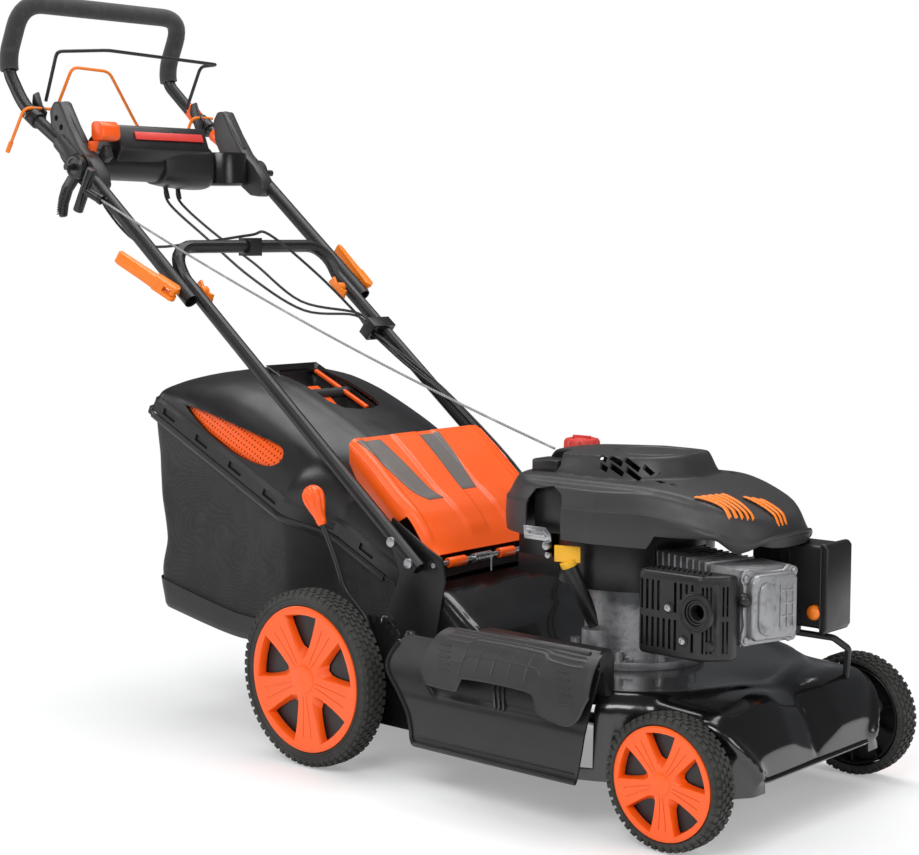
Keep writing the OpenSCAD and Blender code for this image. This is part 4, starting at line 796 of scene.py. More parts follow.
def spoke_cover(size, side):
    """Five broad spokes that rise to a round cap; each window is a pocket that narrows to a dark hole.

    The windows lead or trail the upright by a few degrees, and pairs of fine grooves run along the spokes.
    """
    r, half = size["disc"] - 0.0008, size["w"] / 2
    face = [
        (0.0001, 1.0), (0.165, 1.0), (0.185, 0.975), (0.19, 0.93), (0.25, 0.91), (0.40, 0.89), (0.62, 0.87),
        (0.80, 0.90), (0.93, 0.955), (0.975, 0.965), (1.0, 0.93),
    ]
    back = [(1.0, 0.30), (0.965, 0.30), (0.93, 0.34), (0.20, 0.34), (0.0001, 0.34)]
    cover = turned([(a * r, b * half) for a, b in face + back], (0, 0, 0), "Y", 140)
    mouth = [(0.235, 0.0), (0.30, 0.075), (0.44, 0.145), (0.60, 0.215), (0.75, 0.275), (0.855, 0.315),
             (0.882, 0.16), (0.89, 0.0)]
    hole = [(0.44, 0.0), (0.48, 0.075), (0.55, 0.125), (0.64, 0.175), (0.74, 0.225), (0.825, 0.255),
            (0.848, 0.13), (0.855, 0.0)]
    window, spoke = (-4, 32) if size is REAR else (-2, 34)
    for k in range(5):
        turn = Matrix.Rotation(math.radians(72 * k + window), 4, "Y")
        rings = []
        for ring, deep in ((hole, 0.2 * half), (mouth, 1.05 * half)):
            full = ring + [(a, -b) for a, b in reversed(ring[1:-1])]
            rings.append([turn @ Vector((b * r, deep, a * r)) for a, b in full])
        cut(cover, tapered(*rings))
    rounded(cover, 0.0011, 2, 26)
    tools = []
    line = [(0.235, 0.912), (0.40, 0.89), (0.62, 0.87), (0.80, 0.90)]
    for k in range(5):
        turn = Matrix.Rotation(math.radians(72 * k + spoke), 4, "Y")
        for lean in (-1, 1):
            view = [(a, b * half - 0.0010) for a, b in line] + [(0.80, 1.2 * half), (0.235, 1.2 * half)]
            groove = [(lean * (0.028 + 0.085 * (a - 0.235)) * r - 0.0006, b, a * r) for a, b in view]
            tools.append(outline([turn @ Vector(p) for p in groove], turn @ Vector((0.0012, 0, 0))))
    cut(cover, [joined(tools)])
    barrel = turned([(0.95 * r, 0.33 * half), (0.985 * r, 0.33 * half), (0.985 * r, -0.75 * half),
                     (0.97 * r, -0.8 * half), (0.94 * r, -0.75 * half), (0.93 * r, 0.1 * half)], (0, 0, 0), "Y", 96)
    web = turned([(0.006, 0.24 * half), (0.955 * r, 0.24 * half), (0.955 * r, 0.12 * half), (0.02, 0.12 * half),
                  (0.019, -0.94 * half), (0.0165, -0.98 * half), (0.0062, -0.98 * half)], (0, 0, 0), "Y", 64)
    ribs = []
    for k in range(10):
        turn = Matrix.Rotation(math.radians(36 * k), 4, "Y")
        rib = ((0.15, 0.14), (0.95, 0.14), (0.95, -0.5), (0.4, -0.3), (0.15, -0.7))
        rib = [turn @ Vector((-0.0015, b * half, a * r)) for a, b in rib]
        ribs.append(outline(rib, turn @ Vector((0.003, 0, 0))))
    inner = joined([barrel, web] + ribs)
    for part in (cover, inner):
        if side < 0:
            edit(part)
            bpy.ops.transform.mirror(constraint_axis=(False, True, False), center_override=(0, 0, 0))
            bpy.ops.mesh.normals_make_consistent(inside=False)
            leave()
        edit(part)
        bpy.ops.transform.translate(value=(size["x"], side * size["y"], size["r"]))
        leave()
    return cover, inner


for end, size, blocks in (("rear", REAR, 62), ("front", FORE, 46)):
    for word, side in (("right", -1), ("left", 1)):
        spot, body = f"{end}_{word}", f"{end}_{word}_wheel"
        settle(tyre(size, side, blocks), f"tread_tyre_{spot}", body, "tyre_rubber", [f"tyre_{spot}"])
        cover, inner = spoke_cover(size, side)
        settle(cover, f"spoke_cover_{spot}", body, "orange_plastic", [f"wheel_{spot}"])
        settle(inner, f"wheel_inner_{spot}", body, "black_plastic")


# ---- Solid pieces that keep their shape, with their edges rounded ----

for part, width in (
    ("handle_brackets", 0.0008), ("fasteners", 0.0007), ("height_rack", 0.001), ("hinge_block", 0.0012),
    ("crankcase", 0.0016), ("muffler", 0.002),
    ("blower_housing", 0.001), ("fuel_tank", 0.002), ("tube_clips", 0.0022),
    ("clamp_bolts", 0.0012), ("rear_axle", 0.001), ("gearbox", 0.002), ("cam_lever_right", 0.0016),
    ("cam_lever_left", 0.0016),
    ("starter_handle", 0.002), ("front_axle", 0.001), ("blade_mount", 0.001), ("blade", 0.0006),
    ("dipstick", 0.0022), ("primer_bulb", 0.001),
):
    softened(part, width)


# ---- Engine cover and what shows under it ----

COVER_MID = 205
COVER_HALF = 158
COVER_EDGE = 26


def ease(t):
    """A soft step from 0 to 1."""
    t = min(1.0, max(0.0, t))
    return t * t * (3 - 2 * t)


def cover_reach(turn):
    """How far the cover's side lies from its middle, in millimetres, for a direction seen from above."""
    c, s = math.cos(turn), math.sin(turn)
    long = 244 if c > 0 else 218
    power = 2.7 if c > 0 else 3.6
    wide = COVER_HALF if c <= 0 else COVER_HALF - 26 * c
    return 1 / ((abs(c) / long) ** power + (abs(s) / wide) ** power) ** (1 / power)


def cover_top(ahead, side):
    """Height of the cover's skin: sloping nose, broad shoulders and a raised plateau with a sunk oval."""
    back = COVER_MID - ahead
    z = 480 - 14 * (side / 150) ** 2
    if back < 150:
        z -= 64 * ((150 - back) / 190) ** 1.75
    if back > 340:
        z -= 16 * ((back - 340) / 85) ** 2
    hump = (abs((back - 250) / (132 if back > 250 else 128)) ** 2.6 + abs(side / 96) ** 2.6) ** (1 / 2.6)
    z += (30 - 0.05 * max(0, back - 250)) * ease((1.06 - hump) / 0.17)
    dish = math.hypot((back - 205) / 66, side / 60)
    z -= 3.2 * ease((1.0 - dish) / 0.07)
    z += 2.2 * ease((0.86 - dish) / 0.06)
    crease = abs(side) - (118 - 0.3 * max(0, 120 - back))
    z -= 5.5 * ease(crease / 9)
    return z


def cover_rim(back, side):
    """Height of the cover's lower edge: an arch clears the silencer, and the nose hangs a little."""
    low = 386
    if side < 40:
        low += 19 * ease((118 - back) / 7) * ease((back + 2) / 30)
    return low + 20 * ease((0 - back) / 45)


def cover_skin(u, v):
    """The cover's skin: u goes round it, v up its wall and then in to its middle."""
    turn = 2 * math.pi * u
    reach = cover_reach(turn)
    c, s = math.cos(turn), math.sin(turn)
    walls = 0.22
    share = 1.0 if v < walls else 1 - (v - walls) / (1 - walls)
    far = share if v < walls else (1 - 0.075 * (1 - share)) * share
    ahead, side = reach * far * c, reach * far * s
    top = cover_top(ahead, side) - COVER_EDGE * ease((share - 0.9) / 0.1) ** 1.5
    if v < walls:
        low = cover_rim(COVER_MID - ahead, side)
        top = max(top, low + 8)
        flare = 1.5 * math.sin(math.pi * v / walls)
        ahead, side = ahead + flare * c, side + flare * s
        return place(COVER_MID - ahead, side, low + (top - low) * v / walls)
    return place(COVER_MID - ahead, side, top)


def slot_tool(back, side, z, size, turn=(0, 0, 0)):
    """A box to cut with: its size in millimetres and its turns in degrees."""
    tool = block([-d / 2000 for d in size], [d / 2000 for d in size])
    way = Matrix.Rotation(math.radians(turn[1]), 4, "Y")
    way = Matrix.Rotation(math.radians(turn[2]), 4, "Z") @ Matrix.Rotation(math.radians(turn[0]), 4, "X") @ way
    return seated(tool, Matrix.Translation(place(back, side, z)) @ way)


def engine_cover():
    """The cover with its slots, its side recess and the openings for the cap and the rope."""
    skin = shell_of(176, 96, cover_skin, 0.003)
    tools = []
    for back, wide in ((232, 14), (210, 24), (184, 24), (160, 16), (142, 16), (118, 15)):
        for row, rise in enumerate((487, 499)):
            if (back, row) in ((160, 0), (118, 1)):
                continue
            for flank in (-1, 1):
                side = flank * (92 - 6 * row)
                tools.append(slot_tool(back + 5 * row, side, rise, (wide, 40, 7.5), (flank * 52, 0, -24)))
    recess_line = [(333, 380), (333, 440), (322, 455), (288, 462), (268, 452), (262, 436), (262, 380)]
    tools.append(side_plate(recess_line, -175, -113))
    tools.append(drum(place(385, 50, 440), place(385, 50, 540), 0.0345, 40))
    tools.append(slot_tool(346, -72, 508, (46, 44, 60), (0, 0, 14)))
    tools.append(drum(place(343, -71, 500), place(352, -84, 530), 0.006, 16))
    return cut(skin, tools)


def nose_edge(back, side):
    """How far the cover's top has rounded over its edge at a place, from 0 to 1."""
    ahead = COVER_MID - back
    share = math.hypot(ahead, side) / max(1, cover_reach(math.atan2(side, ahead)))
    return ease((share * 1.02 - 0.9) / 0.1) ** 1.5


def stripe(starts, ends, lift):
    """Ribbed strips along the cover's nose, each from one (back, side, width) to another."""
    pieces = []
    for (b0, y0, wide0), (b1, y1, wide1) in zip(starts, ends):
        def lay(u, v):
            b = b0 + (b1 - b0) * u
            bow = 7 * math.sin(math.pi * u)
            y = y0 + (y1 - y0) * u + bow + (v - 0.5) * (wide0 + (wide1 - wide0) * u)
            crown = lift * (1 - (2 * v - 1) ** 4) * min(1, 9 * u, 9 * (1 - u))
            return place(b, y, cover_top(COVER_MID - b, y) - COVER_EDGE * nose_edge(b, y) + 3.4 + crown)
        pieces.append(formed(26, 8, lay, False))
    return modify(tidy(joined(pieces)), "SOLIDIFY", thickness=0.0012, offset=-0.6)


settle(engine_cover(), "engine_cowl", "chassis", "charcoal_plastic", ["engine_cover"], angle=28)
near = stripe([(66, -99, 8), (63, -87, 8), (60, -75, 8), (57, -63, 8), (54, -51, 8)],
              [(12, -88, 4.6), (8, -81, 4.6), (3, -74, 4.6), (-2, -67, 4.6), (-6, -60, 4.6)], 1.6)
far = stripe([(36, -20, 8), (30, -9, 8), (24, 2, 8)], [(-30, -22, 5), (-30, -13, 5), (-30, -4, 5)], 1.6)
settle(joined([near, far]), "cowl_stripes", "chassis", "amber_plastic")
well = block(place(334, -132, 388), place(261, -112, 462))
settle(rounded(well, 0.004), "cowl_recess_wall", "chassis", "black_plastic")
pocket = block(place(372, -92, 470), place(322, -50, 492))
settle(rounded(pocket, 0.004), "rope_pocket", "chassis", "black_plastic")


def bracket():
    """Pressed throttle bracket: a bent silver plate with a raised window and two screws."""
    plate = side_plate([(338, 400), (296, 400), (286, 391), (284, 380), (336, 380)], -150, -152)
    rib = side_plate([(331, 396), (301, 396), (293, 389), (295, 385), (331, 385)], -151.5, -154.5)
    hole = side_plate([(326, 393), (303, 393), (298, 389), (326, 389)], -140, -170)
    rib = cut(rounded(rib, 0.001), hole)
    screws = [pin(290, 374, -150, -159, 0.0065, 20), pin(288, 360, -150, -157, 0.005, 20)]
    return joined([rounded(plate, 0.0006), rib] + [rounded(s, 0.0012) for s in screws])


settle(bracket(), "throttle_bracket", "chassis", "steel")


def fuel_cap():
    """Screw cap with scalloped sides and a dished top with a raised grip."""
    hub = place(385, 50, 488.5)
    cap = turned([(0.0001, 0.0), (0.027, 0.0), (0.029, 0.003), (0.0285, 0.017), (0.026, 0.021), (0.020, 0.0225),
                  (0.018, 0.021), (0.014, 0.0205), (0.011, 0.0225), (0.0001, 0.0232)], hub, "Z", 96)
    tools = [drum(hub + Vector((0.0312 * math.cos(a), 0.0312 * math.sin(a), 0.004)),
                  hub + Vector((0.0312 * math.cos(a), 0.0312 * math.sin(a), 0.03)), 0.0042, 16)
             for a in [math.radians(30 * k) for k in range(12)]]
    cut(cap, joined(tools))
    grip = block(hub + Vector((-0.017, -0.003, 0.021)), hub + Vector((0.017, 0.003, 0.0262)))
    return joined([rounded(cap, 0.001, 2), rounded(grip, 0.0012)])


settle(fuel_cap(), "lobed_fuel_cap", "tank_cap", "red_plastic", ["fuel_cap"])


# ---- Silencer guard, valve cover, air box and hinge block ----

def upright(plan, low, high, width, segments=3):
    """A block with the plan (back, side) from one height to another, with rounded edges."""
    return rounded(outline([place(b, y, low) for b, y in plan], (0, 0, (high - low) * mm)), width, segments, 40)


OUTLET = (-3, 318)
GUARD_SCREWS = [(42, 320), (18, 277)]


def guard():
    """Slotted plastic shell round the silencer, with a ring round the outlet and a slanted front corner."""
    shell = upright([(98, -143), (98, -187), (90, -194.9), (-8, -194.9), (-38, -162), (-38, -143)], 250, 368, 0.006)
    cut(shell, upright([(95, -130), (95, -186), (89, -191.6), (-7, -191.6), (-35, -161), (-35, -130)],
                       253.4, 364.6, 0.003, 2))
    tools = [pin(*OUTLET, -205, -180, 0.019, 48)]
    for k in range(10):
        b = 88 - 9.4 * k
        for low, high in ((262, 304), (314, 356)):
            away = max(0, 29.5 ** 2 - (b - OUTLET[0]) ** 2) ** 0.5
            if away > 0 and low < 300:
                high = min(high, OUTLET[1] - away)
            elif away > 0:
                low = max(low, OUTLET[1] + away)
            near_screw = any(math.hypot(b - sb, max(low - sz, sz - high, 0)) < 9 for sb, sz in GUARD_SCREWS)
            if high - low < 5 or near_screw:
                continue
            tools.append(slot_tool(b, -195, (low + high) / 2, (4.4, 16, high - low)))
    for k in range(7):
        t = (k + 0.9) / 7.8
        for low, high in ((262, 306), (313, 354)):
            middle = (-8 - 30 * t, -194.9 + 32.9 * t, (low + high) / 2)
            tools.append(slot_tool(*middle, (2.9, 14, high - low), (0, 0, 47.6)))
    for k in range(4):
        tools.append(slot_tool(80 - 27 * k, -186, 368, (19, 4.6, 18)))
    for k in range(12):
        tools.append(slot_tool(88 - 8.6 * k, -166, 368, (3.6, 20, 18), (0, 0, 24)))
    cut(shell, tools)
    spot = place(OUTLET[0], 0, OUTLET[1])
    ring = turned([(0.0185, -0.1925), (0.0185, -0.1962), (0.0202, -0.197), (0.0212, -0.1958), (0.0236, -0.1958),
                   (0.0248, -0.1972), (0.0266, -0.1964), (0.0272, -0.1925)], spot, "Y", 72)
    pipe = turned([(0.0150, -0.194), (0.0172, -0.194), (0.0172, -0.170), (0.0150, -0.170)], spot, "Y", 48)
    bosses = [rounded(pin(b, z, -190, -196.4, 0.0082, 28), 0.0012) for b, z in GUARD_SCREWS]
    return joined([shell, ring, pipe] + bosses)


settle(guard(), "slotted_guard", "chassis", SLOT_OF["muffler_guard"], ["muffler_guard"], angle=38)
screws = []
for sb, sz in GUARD_SCREWS:
    head = rounded(pin(sb, sz, -194, -199.2, 0.0052, 24), 0.001)
    screws.append(cut(head, pin(sb, sz, -197.6, -202, 0.0027, 6)))
settle(joined(screws), "guard_screws", "chassis", "steel")


def on_head(ahead, side, z):
    """A place on the cylinder's own frame: ahead of the crankshaft and square to the cylinder."""
    c, s = math.cos(CYLINDER_TURN), math.sin(CYLINDER_TURN)
    return place(CRANK - ahead * c + side * s, ahead * s + side * c, z)


def on_head_slab(shape, low, high, width, segments=3):
    """A plate whose outline (side, z) faces the cylinder's way."""
    way = on_head(high, 0, 0) - on_head(low, 0, 0)
    return rounded(outline([on_head(low, y, z) for y, z in shape], way), width, segments, 40)


def valve():
    """Pressed valve cover: flange, domed body, raised pad, ribs and bolts on their washers."""
    flange = on_head_slab([(-50, 274), (-44, 266), (-32, 266), (-26, 272), (30, 270), (38, 264), (46, 268), (50, 276),
                           (48, 300), (50, 360), (44, 372), (34, 374), (26, 368), (-24, 368), (-32, 374), (-44, 372),
                           (-50, 362), (-46, 350), (-46, 312), (-44, 296)], 300, 305.5, 0.002, 2)
    body = on_head_slab([(-40, 282), (-34, 274), (34, 274), (41, 281), (41, 358), (35, 366), (-30, 366), (-40, 356)],
                        305, 319, 0.0058, 4)
    pad = on_head_slab([(-31, 296), (-27, 285), (-16, 281), (-5, 285), (-1, 296), (-1, 340), (-5, 352), (-16, 356),
                        (-27, 352), (-31, 340)], 318, 323.5, 0.0028)
    ribs = [on_head_slab([(y, 290), (y + 3, 290), (y + 3, 350), (y, 350)], 318, 320.6, 0.0009, 2) for y in (8, 20, 31)]
    ribs += [on_head_slab([(8, z), (34, z), (34, z + 3), (8, z + 3)], 318, 320.4, 0.0009, 2) for z in (304, 322, 340)]
    fixings = [rounded(drum(on_head(304, y, z), on_head(end, y, z), radius, sides), soft)
               for end, radius, sides, soft in ((309.5, 0.0052, 6, 0.0008), (306.2, 0.0078, 24, 0.0006))
               for y, z in ((-43, 360), (43, 364), (-42, 275), (42, 274))]
    return joined([flange, body, pad] + ribs + fixings)


settle(valve(), "pressed_valve_cover", "chassis", SLOT_OF["valve_cover"], ["valve_cover"], angle=40)
boot = begin("uv_sphere", segments=32, ring_count=20, radius=0.0098, location=on_head(309, -47, 332))
stem = drum(on_head(280, -47, 332), on_head(309, -47, 332), 0.0068, 24)
settle(joined([boot, stem]), "plug_boot", "chassis", "black_plastic")


def air_box():
    """Filter housing with a lipped cover plate in front and a rounded bottom corner."""
    body = upright([(60, 40), (60, 80), (10, 92), (-64, 92), (-64, 31), (10, 31), (10, 40)], 268, 388, 0.005)
    lid = side_plate([(-62, 262), (-62, 392), (-70, 392), (-75, 386), (-75, 270), (-70, 262)], 27, 95)
    rounded(lid, 0.0025, 3, 40)
    edge = rounded(block(place(-8, 29.2, 276), place(-11, 31.5, 384)), 0.0008)
    rim = rod([place(-63.5, 26.5, 270), place(-63.5, 26.5, 386)], 0.0018, 8)
    return joined([body, lid, edge, rim])


settle(air_box(), "lidded_air_box", "chassis", SLOT_OF["air_filter_box"], ["air_filter_box"], angle=40)


# ---- Grass bag: hard top, vents, fabric and tray ----

def on_seam(s, side, h):
    """A place on the bag's top: along the seam from its front, out to the side, square up from the seam."""
    return place(600 + s * math.cos(SEAM) - h * math.sin(SEAM), side, 282 + s * math.sin(SEAM) + h * math.cos(SEAM))


def from_seam(side, h):
    """A way across and square up from the seam."""
    return on_seam(0, side, h) - on_seam(0, 0, 0)


def through(points, x):
    """Value of a smooth line through (place, value) points."""
    if x <= points[0][0]:
        return points[0][1]
    for i in range(len(points) - 1):
        if x <= points[i + 1][0]:
            a, b = points[max(0, i - 1)][1], points[i][1]
            c, d = points[i + 1][1], points[min(len(points) - 1, i + 2)][1]
            t = (x - points[i][0]) / (points[i + 1][0] - points[i][0])
            return eased(a, b, c, d, t)
    return points[-1][1]


def through_both(points, x):
    """Two values at once, of a smooth line through (place, first, second) points."""
    return through([(at, a) for at, a, b in points], x), through([(at, b) for at, a, b in points], x)


HOOD_LINE = [(-62, 44), (-20, 76), (60, 103), (176, 134), (300, 139), (400, 135), (470, 121), (530, 98), (570, 72),
             (590, 50)]
HOOD_WALL = 26
HOOD_INSET = 7
OUT_CURVE, UP_CURVE = 0.92, 0.86


def hood_half(s):
    """Half the width of the hood, in millimetres."""
    return 158 + 56 * ease((s - 138) / 92) - 14 * ease((s - 566) / 26) ** 2


def hood_point(s, t, sink=0.0):
    """t runs from the near rim (0) over the top (0.5) to the far rim (1)."""
    side = 1 if t > 0.5 else -1
    q = 1 - abs(2 * t - 1)
    half, top = hood_half(s) - sink, through(HOOD_LINE, s) - sink
    if q < 0.12:
        return on_seam(s, side * half, 1 + 25 * q / 0.12)
    q = (q - 0.12) / 0.88
    turn = q * math.pi / 2
    low = HOOD_WALL if top > 40 else 0.6 * top
    y, h = (half - HOOD_INSET) * math.cos(turn) ** OUT_CURVE, low + (top - low) * math.sin(turn) ** UP_CURVE
    brow = ease((s - 235) / 60) * ease((545 - s) / 60) * ease((h - 84 + 0.19 * (s - 300)) / 5)
    brow *= ease((152 - abs(y)) / -18 + 1.9)
    y += (4.2 * brow) * (1 if h < 118 else max(0, (132 - h) / 14))
    keel = ease((abs(y) - 66) / 4) * ease((76 - abs(y)) / 4) * ease((s - 70) / 60) * ease((470 - s) / 50)
    return on_seam(s, side * y, h + 2.2 * keel)


def hood_skin(u, v):
    """The hood's skin; its last strip closes the back end down to the seam."""
    closing = 0.985
    p = hood_point(-61 + 655 * min(u, closing), v)
    q = 1 - abs(2 * v - 1)
    low = on_seam(594, (-1 if v < 0.5 else 1) * (198 * math.cos(q * math.pi / 2) ** 0.6), 1)
    return p.lerp(low, max(0.0, (u - closing) / 0.015))


VENT_LEAF = [(512, 44), (482, 54), (440, 63), (390, 72), (340, 80), (300, 85), (281, 82), (273, 71), (279, 59),
             (296, 48), (325, 39), (360, 33), (400, 30), (440, 31), (480, 37), (512, 44)]


def hood():
    """The hood with its side vents, the carrying hole and the notches along its rim."""
    skin = shell_of(150, 96, hood_skin, 0.0055)
    for side in (-1, 1):
        ring = flowing([Vector((s, 0, h)) for s, h in VENT_LEAF], 4)[:-1]
        cut(skin, outline([on_seam(p.x, side * 120, p.z) for p in ring], from_seam(side * 120, 0)))
    ring = [(488, -34), (488, 34), (464, 54), (336, 54), (310, 44), (299, 16), (299, -16), (310, -44), (336, -54),
            (464, -54)]
    cut(skin, outline([on_seam(s, y, 96) for s, y in ring], from_seam(0, 70)))
    for side in (-1, 1):
        for k in range(6):
            s = 72 + 92 * k
            half = hood_half(s)
            spot, next_spot = on_seam(s, side * half, 14), on_seam(s + 1, side * hood_half(s + 1), 14)
            way = next_spot - spot
            turn = Matrix.Rotation(math.atan2(-way.y, -way.x), 4, "Z") @ Matrix.Rotation(SEAM, 4, "Y")
            notch = block((-0.017, -0.004, -0.0058), (0.017, 0.004, 0.0058))
            cut(skin, seated(notch, Matrix.Translation(on_seam(s, side * (half + 0.5), 14)) @ turn))
    return skin


settle(hood(), "bag_hood", "grass_bag", "black_plastic", ["bag_top"], angle=30)


def recess():
    """Dished tray of the carrying recess in the hood's top."""
    def dish(u, v):
        s, y = 292 + 203 * u, (2 * v - 1) * 60
        edge = max(abs(2 * u - 1) ** 6, abs(2 * v - 1) ** 6)
        return on_seam(s, y, 88 + 34 * ease((edge - 0.12) / 0.88))
    return shell_of(40, 24, dish, 0.002)


settle(recess(), "carry_tray", "grass_bag", "black_plastic")
bar = turned([(0.0001, -0.0495), (0.0095, -0.0495), (0.0102, -0.046), (0.0088, -0.036), (0.0098, -0.024),
              (0.0088, -0.012), (0.0098, 0.0), (0.0088, 0.012), (0.0098, 0.024), (0.0088, 0.036), (0.0102, 0.046),
              (0.0095, 0.0495), (0.0001, 0.0495)], on_seam(396, 0, 115), "Y", 40)
settle(rounded(bar, 0.0008), "carry_bar", "grass_bag", "charcoal_plastic")
wedge = outline([on_seam(s, -46, h) for s, h in ((424, 92), (424, 116), (392, 114), (312, 96), (312, 92))],
                from_seam(50, 0))
strip = outline([on_seam(s, 34, h) for s, h in ((470, 116), (470, 122), (330, 124), (330, 118))], from_seam(8, 0))
settle(rounded(joined([wedge, strip]), 0.0015), "carry_inlays", "grass_bag", "orange_plastic")


def vent_panel(side):
    """Perforated panel that follows the hood a little way in."""
    across, along = 96, 27

    def lay(u, v):
        s, h = 512 - 236 * u, 30 + 74 * v
        top, half = through(HOOD_LINE, s), hood_half(s)
        ratio = min(0.98, max(0.0, (h - HOOD_WALL) / (top - HOOD_WALL)))
        turn = math.asin(ratio ** (1 / UP_CURVE))
        return on_seam(s, side * ((half - HOOD_INSET) * math.cos(turn) ** OUT_CURVE - 7.5), h)
    panel = begin("grid", x_subdivisions=across, y_subdivisions=along, size=1)
    holes = {f.index for f in panel.data.polygons
             if int((f.center.x + 0.5) * across) % 3 == 1 and int((f.center.y + 0.5) * along) % 3 == 1}
    edit(panel, "FACE", lambda f: f.index in holes)
    bpy.ops.mesh.delete(type="FACE")
    leave()
    for vertex in panel.data.vertices:
        vertex.co = lay(vertex.co.x + 0.5, vertex.co.y + 0.5)
    if side > 0:
        edit(panel)
        bpy.ops.mesh.flip_normals()
        leave()
    return modify(panel, "SOLIDIFY", thickness=0.0016, offset=-1)


settle(joined([vent_panel(-1), vent_panel(1)]), "vent_panels", "grass_bag", "orange_plastic", ["bag_vents"])


def rim():
    """Lip that hangs over the fabric along the seam and round the back."""
    def lay(u, v):
        run = u * 2
        if 0.92 <= run <= 1.08:
            side = (run - 1) / 0.08
            turn = side * math.pi / 2
            b = 580 + 16 * math.cos(turn) ** 0.35
            y = (hood_half(580) + 1.4) * math.copysign(abs(math.sin(turn)) ** 0.25, side)
        else:
            side = -1 if run < 1 else 1
            b = 20 + 560 * min(run, 2 - run) / 0.92
            y = side * (hood_half(b) + 1.4 + 1.6 * math.sin(math.pi * v))
        return on_seam(b, y, -11 + 11.5 * v)
    return shell_of(200, 6, lay, 0.003, 1, False)


settle(tidy(rim()), "bag_rim", "grass_bag", "black_plastic")

FABRIC_LOW = [(0.0, 612, 210), (0.15, 690, 205), (0.35, 780, 177), (0.6, 900, 159), (1.0, 1100, 190)]
FABRIC_END = [(0.0, 0), (0.35, 4), (0.66, 0), (0.82, 16), (1.0, 6)]


def fabric_half(back):
    """Half the width of the fabric, in millimetres."""
    return 157 + 54 * ease((back - 735) / 70)


def fold(p):
    """Depth of the wrinkles in the cloth at a place, in millimetres."""
    lean = p.x * 14 - p.z * 11
    big = noise.noise(Vector((lean, p.y * 3, p.z * 3.2 + p.x * 3.2)))
    small = noise.noise(Vector((p.x * 36 + 4, p.y * 30, p.z * 24)))
    return 4.2 * big + 1.0 * small


def fabric_place(run, v, out=0.0):
    """run goes round the bag from the near front (0) past the back to the far front (1); v from the seam down."""
    corner = 0.40
    if run < corner:
        p, side, depth = run / corner, -1.0, None
    elif run > 1 - corner:
        p, side, depth = (1 - run) / corner, 1.0, None
    else:
        p, side, depth = 1.0, None, (run - 0.5) / (0.5 - corner)
    top_b, top_z = 596 + 537 * p, 280 + 253 * p
    low_b, low_z = through_both(FABRIC_LOW, p)
    back = top_b + (low_b - top_b) * v + through(FABRIC_END, v) * p ** 3
    z = top_z + (low_z - top_z) * v
    half = fabric_half(back) + out
    slack = 13 * math.sin(math.pi * v) ** 1.3 * math.sin(math.pi * min(1, 0.15 + 0.85 * p)) ** 0.6
    if side is not None:
        y = side * (half - slack * (0.4 + 0.6 * p))
        round_off = 12 * max(0, (p - 0.94) / 0.06) ** 2
        return place(back - 0.4 * round_off, y - side * round_off, z)
    y = depth * (half - 12)
    bow = 9 * math.sin(math.pi * v) * (1 - depth ** 2)
    return place(back - 4.8 * (1 - math.sqrt(max(0, 1 - depth ** 6))) - bow, y, z)


def outward(p, u):
    """Way out of the bag on its sides, or out of its back."""
    return Vector((0, math.copysign(1, p.y), 0)) if abs(u - 0.5) > 0.1 else Vector((-1, 0, 0))


def bag_cloth_skin(u, v):
    """The cloth with its wrinkles, which fade out at its edges."""
    p = fabric_place(u, v)
    keep = math.sin(math.pi * min(1, max(0, v))) ** 0.5 * min(1, 14 * u, 14 * (1 - u))
    return p + outward(p, u) * mm * (fold(p) - 2.5) * keep


cloth = formed(220, 70, bag_cloth_skin)
modify(cloth, "SOLIDIFY", thickness=0.0016, offset=-1)
settle(cloth, "bag_cloth", "grass_bag", "bag_fabric", ["bag_fabric"], angle=50)


def hem():
    """Folded bands along the cloth's upper and lower edge."""
    bands = []
    for level, deep in ((0.035, 0.02), (0.93, 0.02)):
        def lay(u, v):
            p = bag_cloth_skin(0.01 + 0.98 * u, level + deep * v)
            return p + outward(p, u) * 0.0009
        bands.append(formed(220, 2, lay, False))
    return modify(joined(bands), "SOLIDIFY", thickness=0.0014, offset=0)


settle(hem(), "bag_hem", "grass_bag", "bag_fabric", mat=FINISHES["bag_fabric"])


def stitches():
    """Two rows of short stitches below the rim."""
    made = []
    for level in (0.040, 0.050):
        for k in range(230):
            u = 0.012 + 0.976 * k / 229
            if abs(abs(u - 0.5) - 0.1) < 0.004:
                continue
            p, q = bag_cloth_skin(u, level), bag_cloth_skin(u + 0.0022, level)
            lift = outward(p, u) * 0.0017
            made.append(drum(p + lift, q + lift, 0.0005, 5))
    return joined(made)


settle(stitches(), "bag_stitches", "grass_bag", "cord_black", mat=cable_jacket("stitch_thread", (92, 92, 92)))


def tray():
    """Smooth moulded floor of the bag with a turned-up lip."""
    def lay(u, v):
        if v < 0.3:
            return fabric_place(u, 1.0 - 0.14 * (1 - v / 0.3), 1.0)
        t = (v - 0.3) / 0.7
        p = fabric_place(u, 1.0, 1.0)
        x = p.x + (place(1080, 0, 0).x - p.x) * 0.1 * t if abs(u - 0.5) < 0.1 else p.x
        return Vector((x, p.y * (1 - t), p.z - 0.005 * ease(t * 4)))
    return shell_of(160, 26, lay, 0.002, 1)


settle(tray(), "bag_tray", "grass_bag", "black_plastic")


# ---- Rear flap ----

FLAP_LINE = [(694, 503), (648, 466), (600, 424), (578, 408), (560, 393), (541, 368), (524, 346), (511, 334)]


def flap_side(t):
    """Back and height along the flap from its free edge (0) to its hinge (1)."""
    knots = [(k, b, z) for k, (b, z) in enumerate(FLAP_LINE)]
    return through_both(knots, t * (len(FLAP_LINE) - 1))


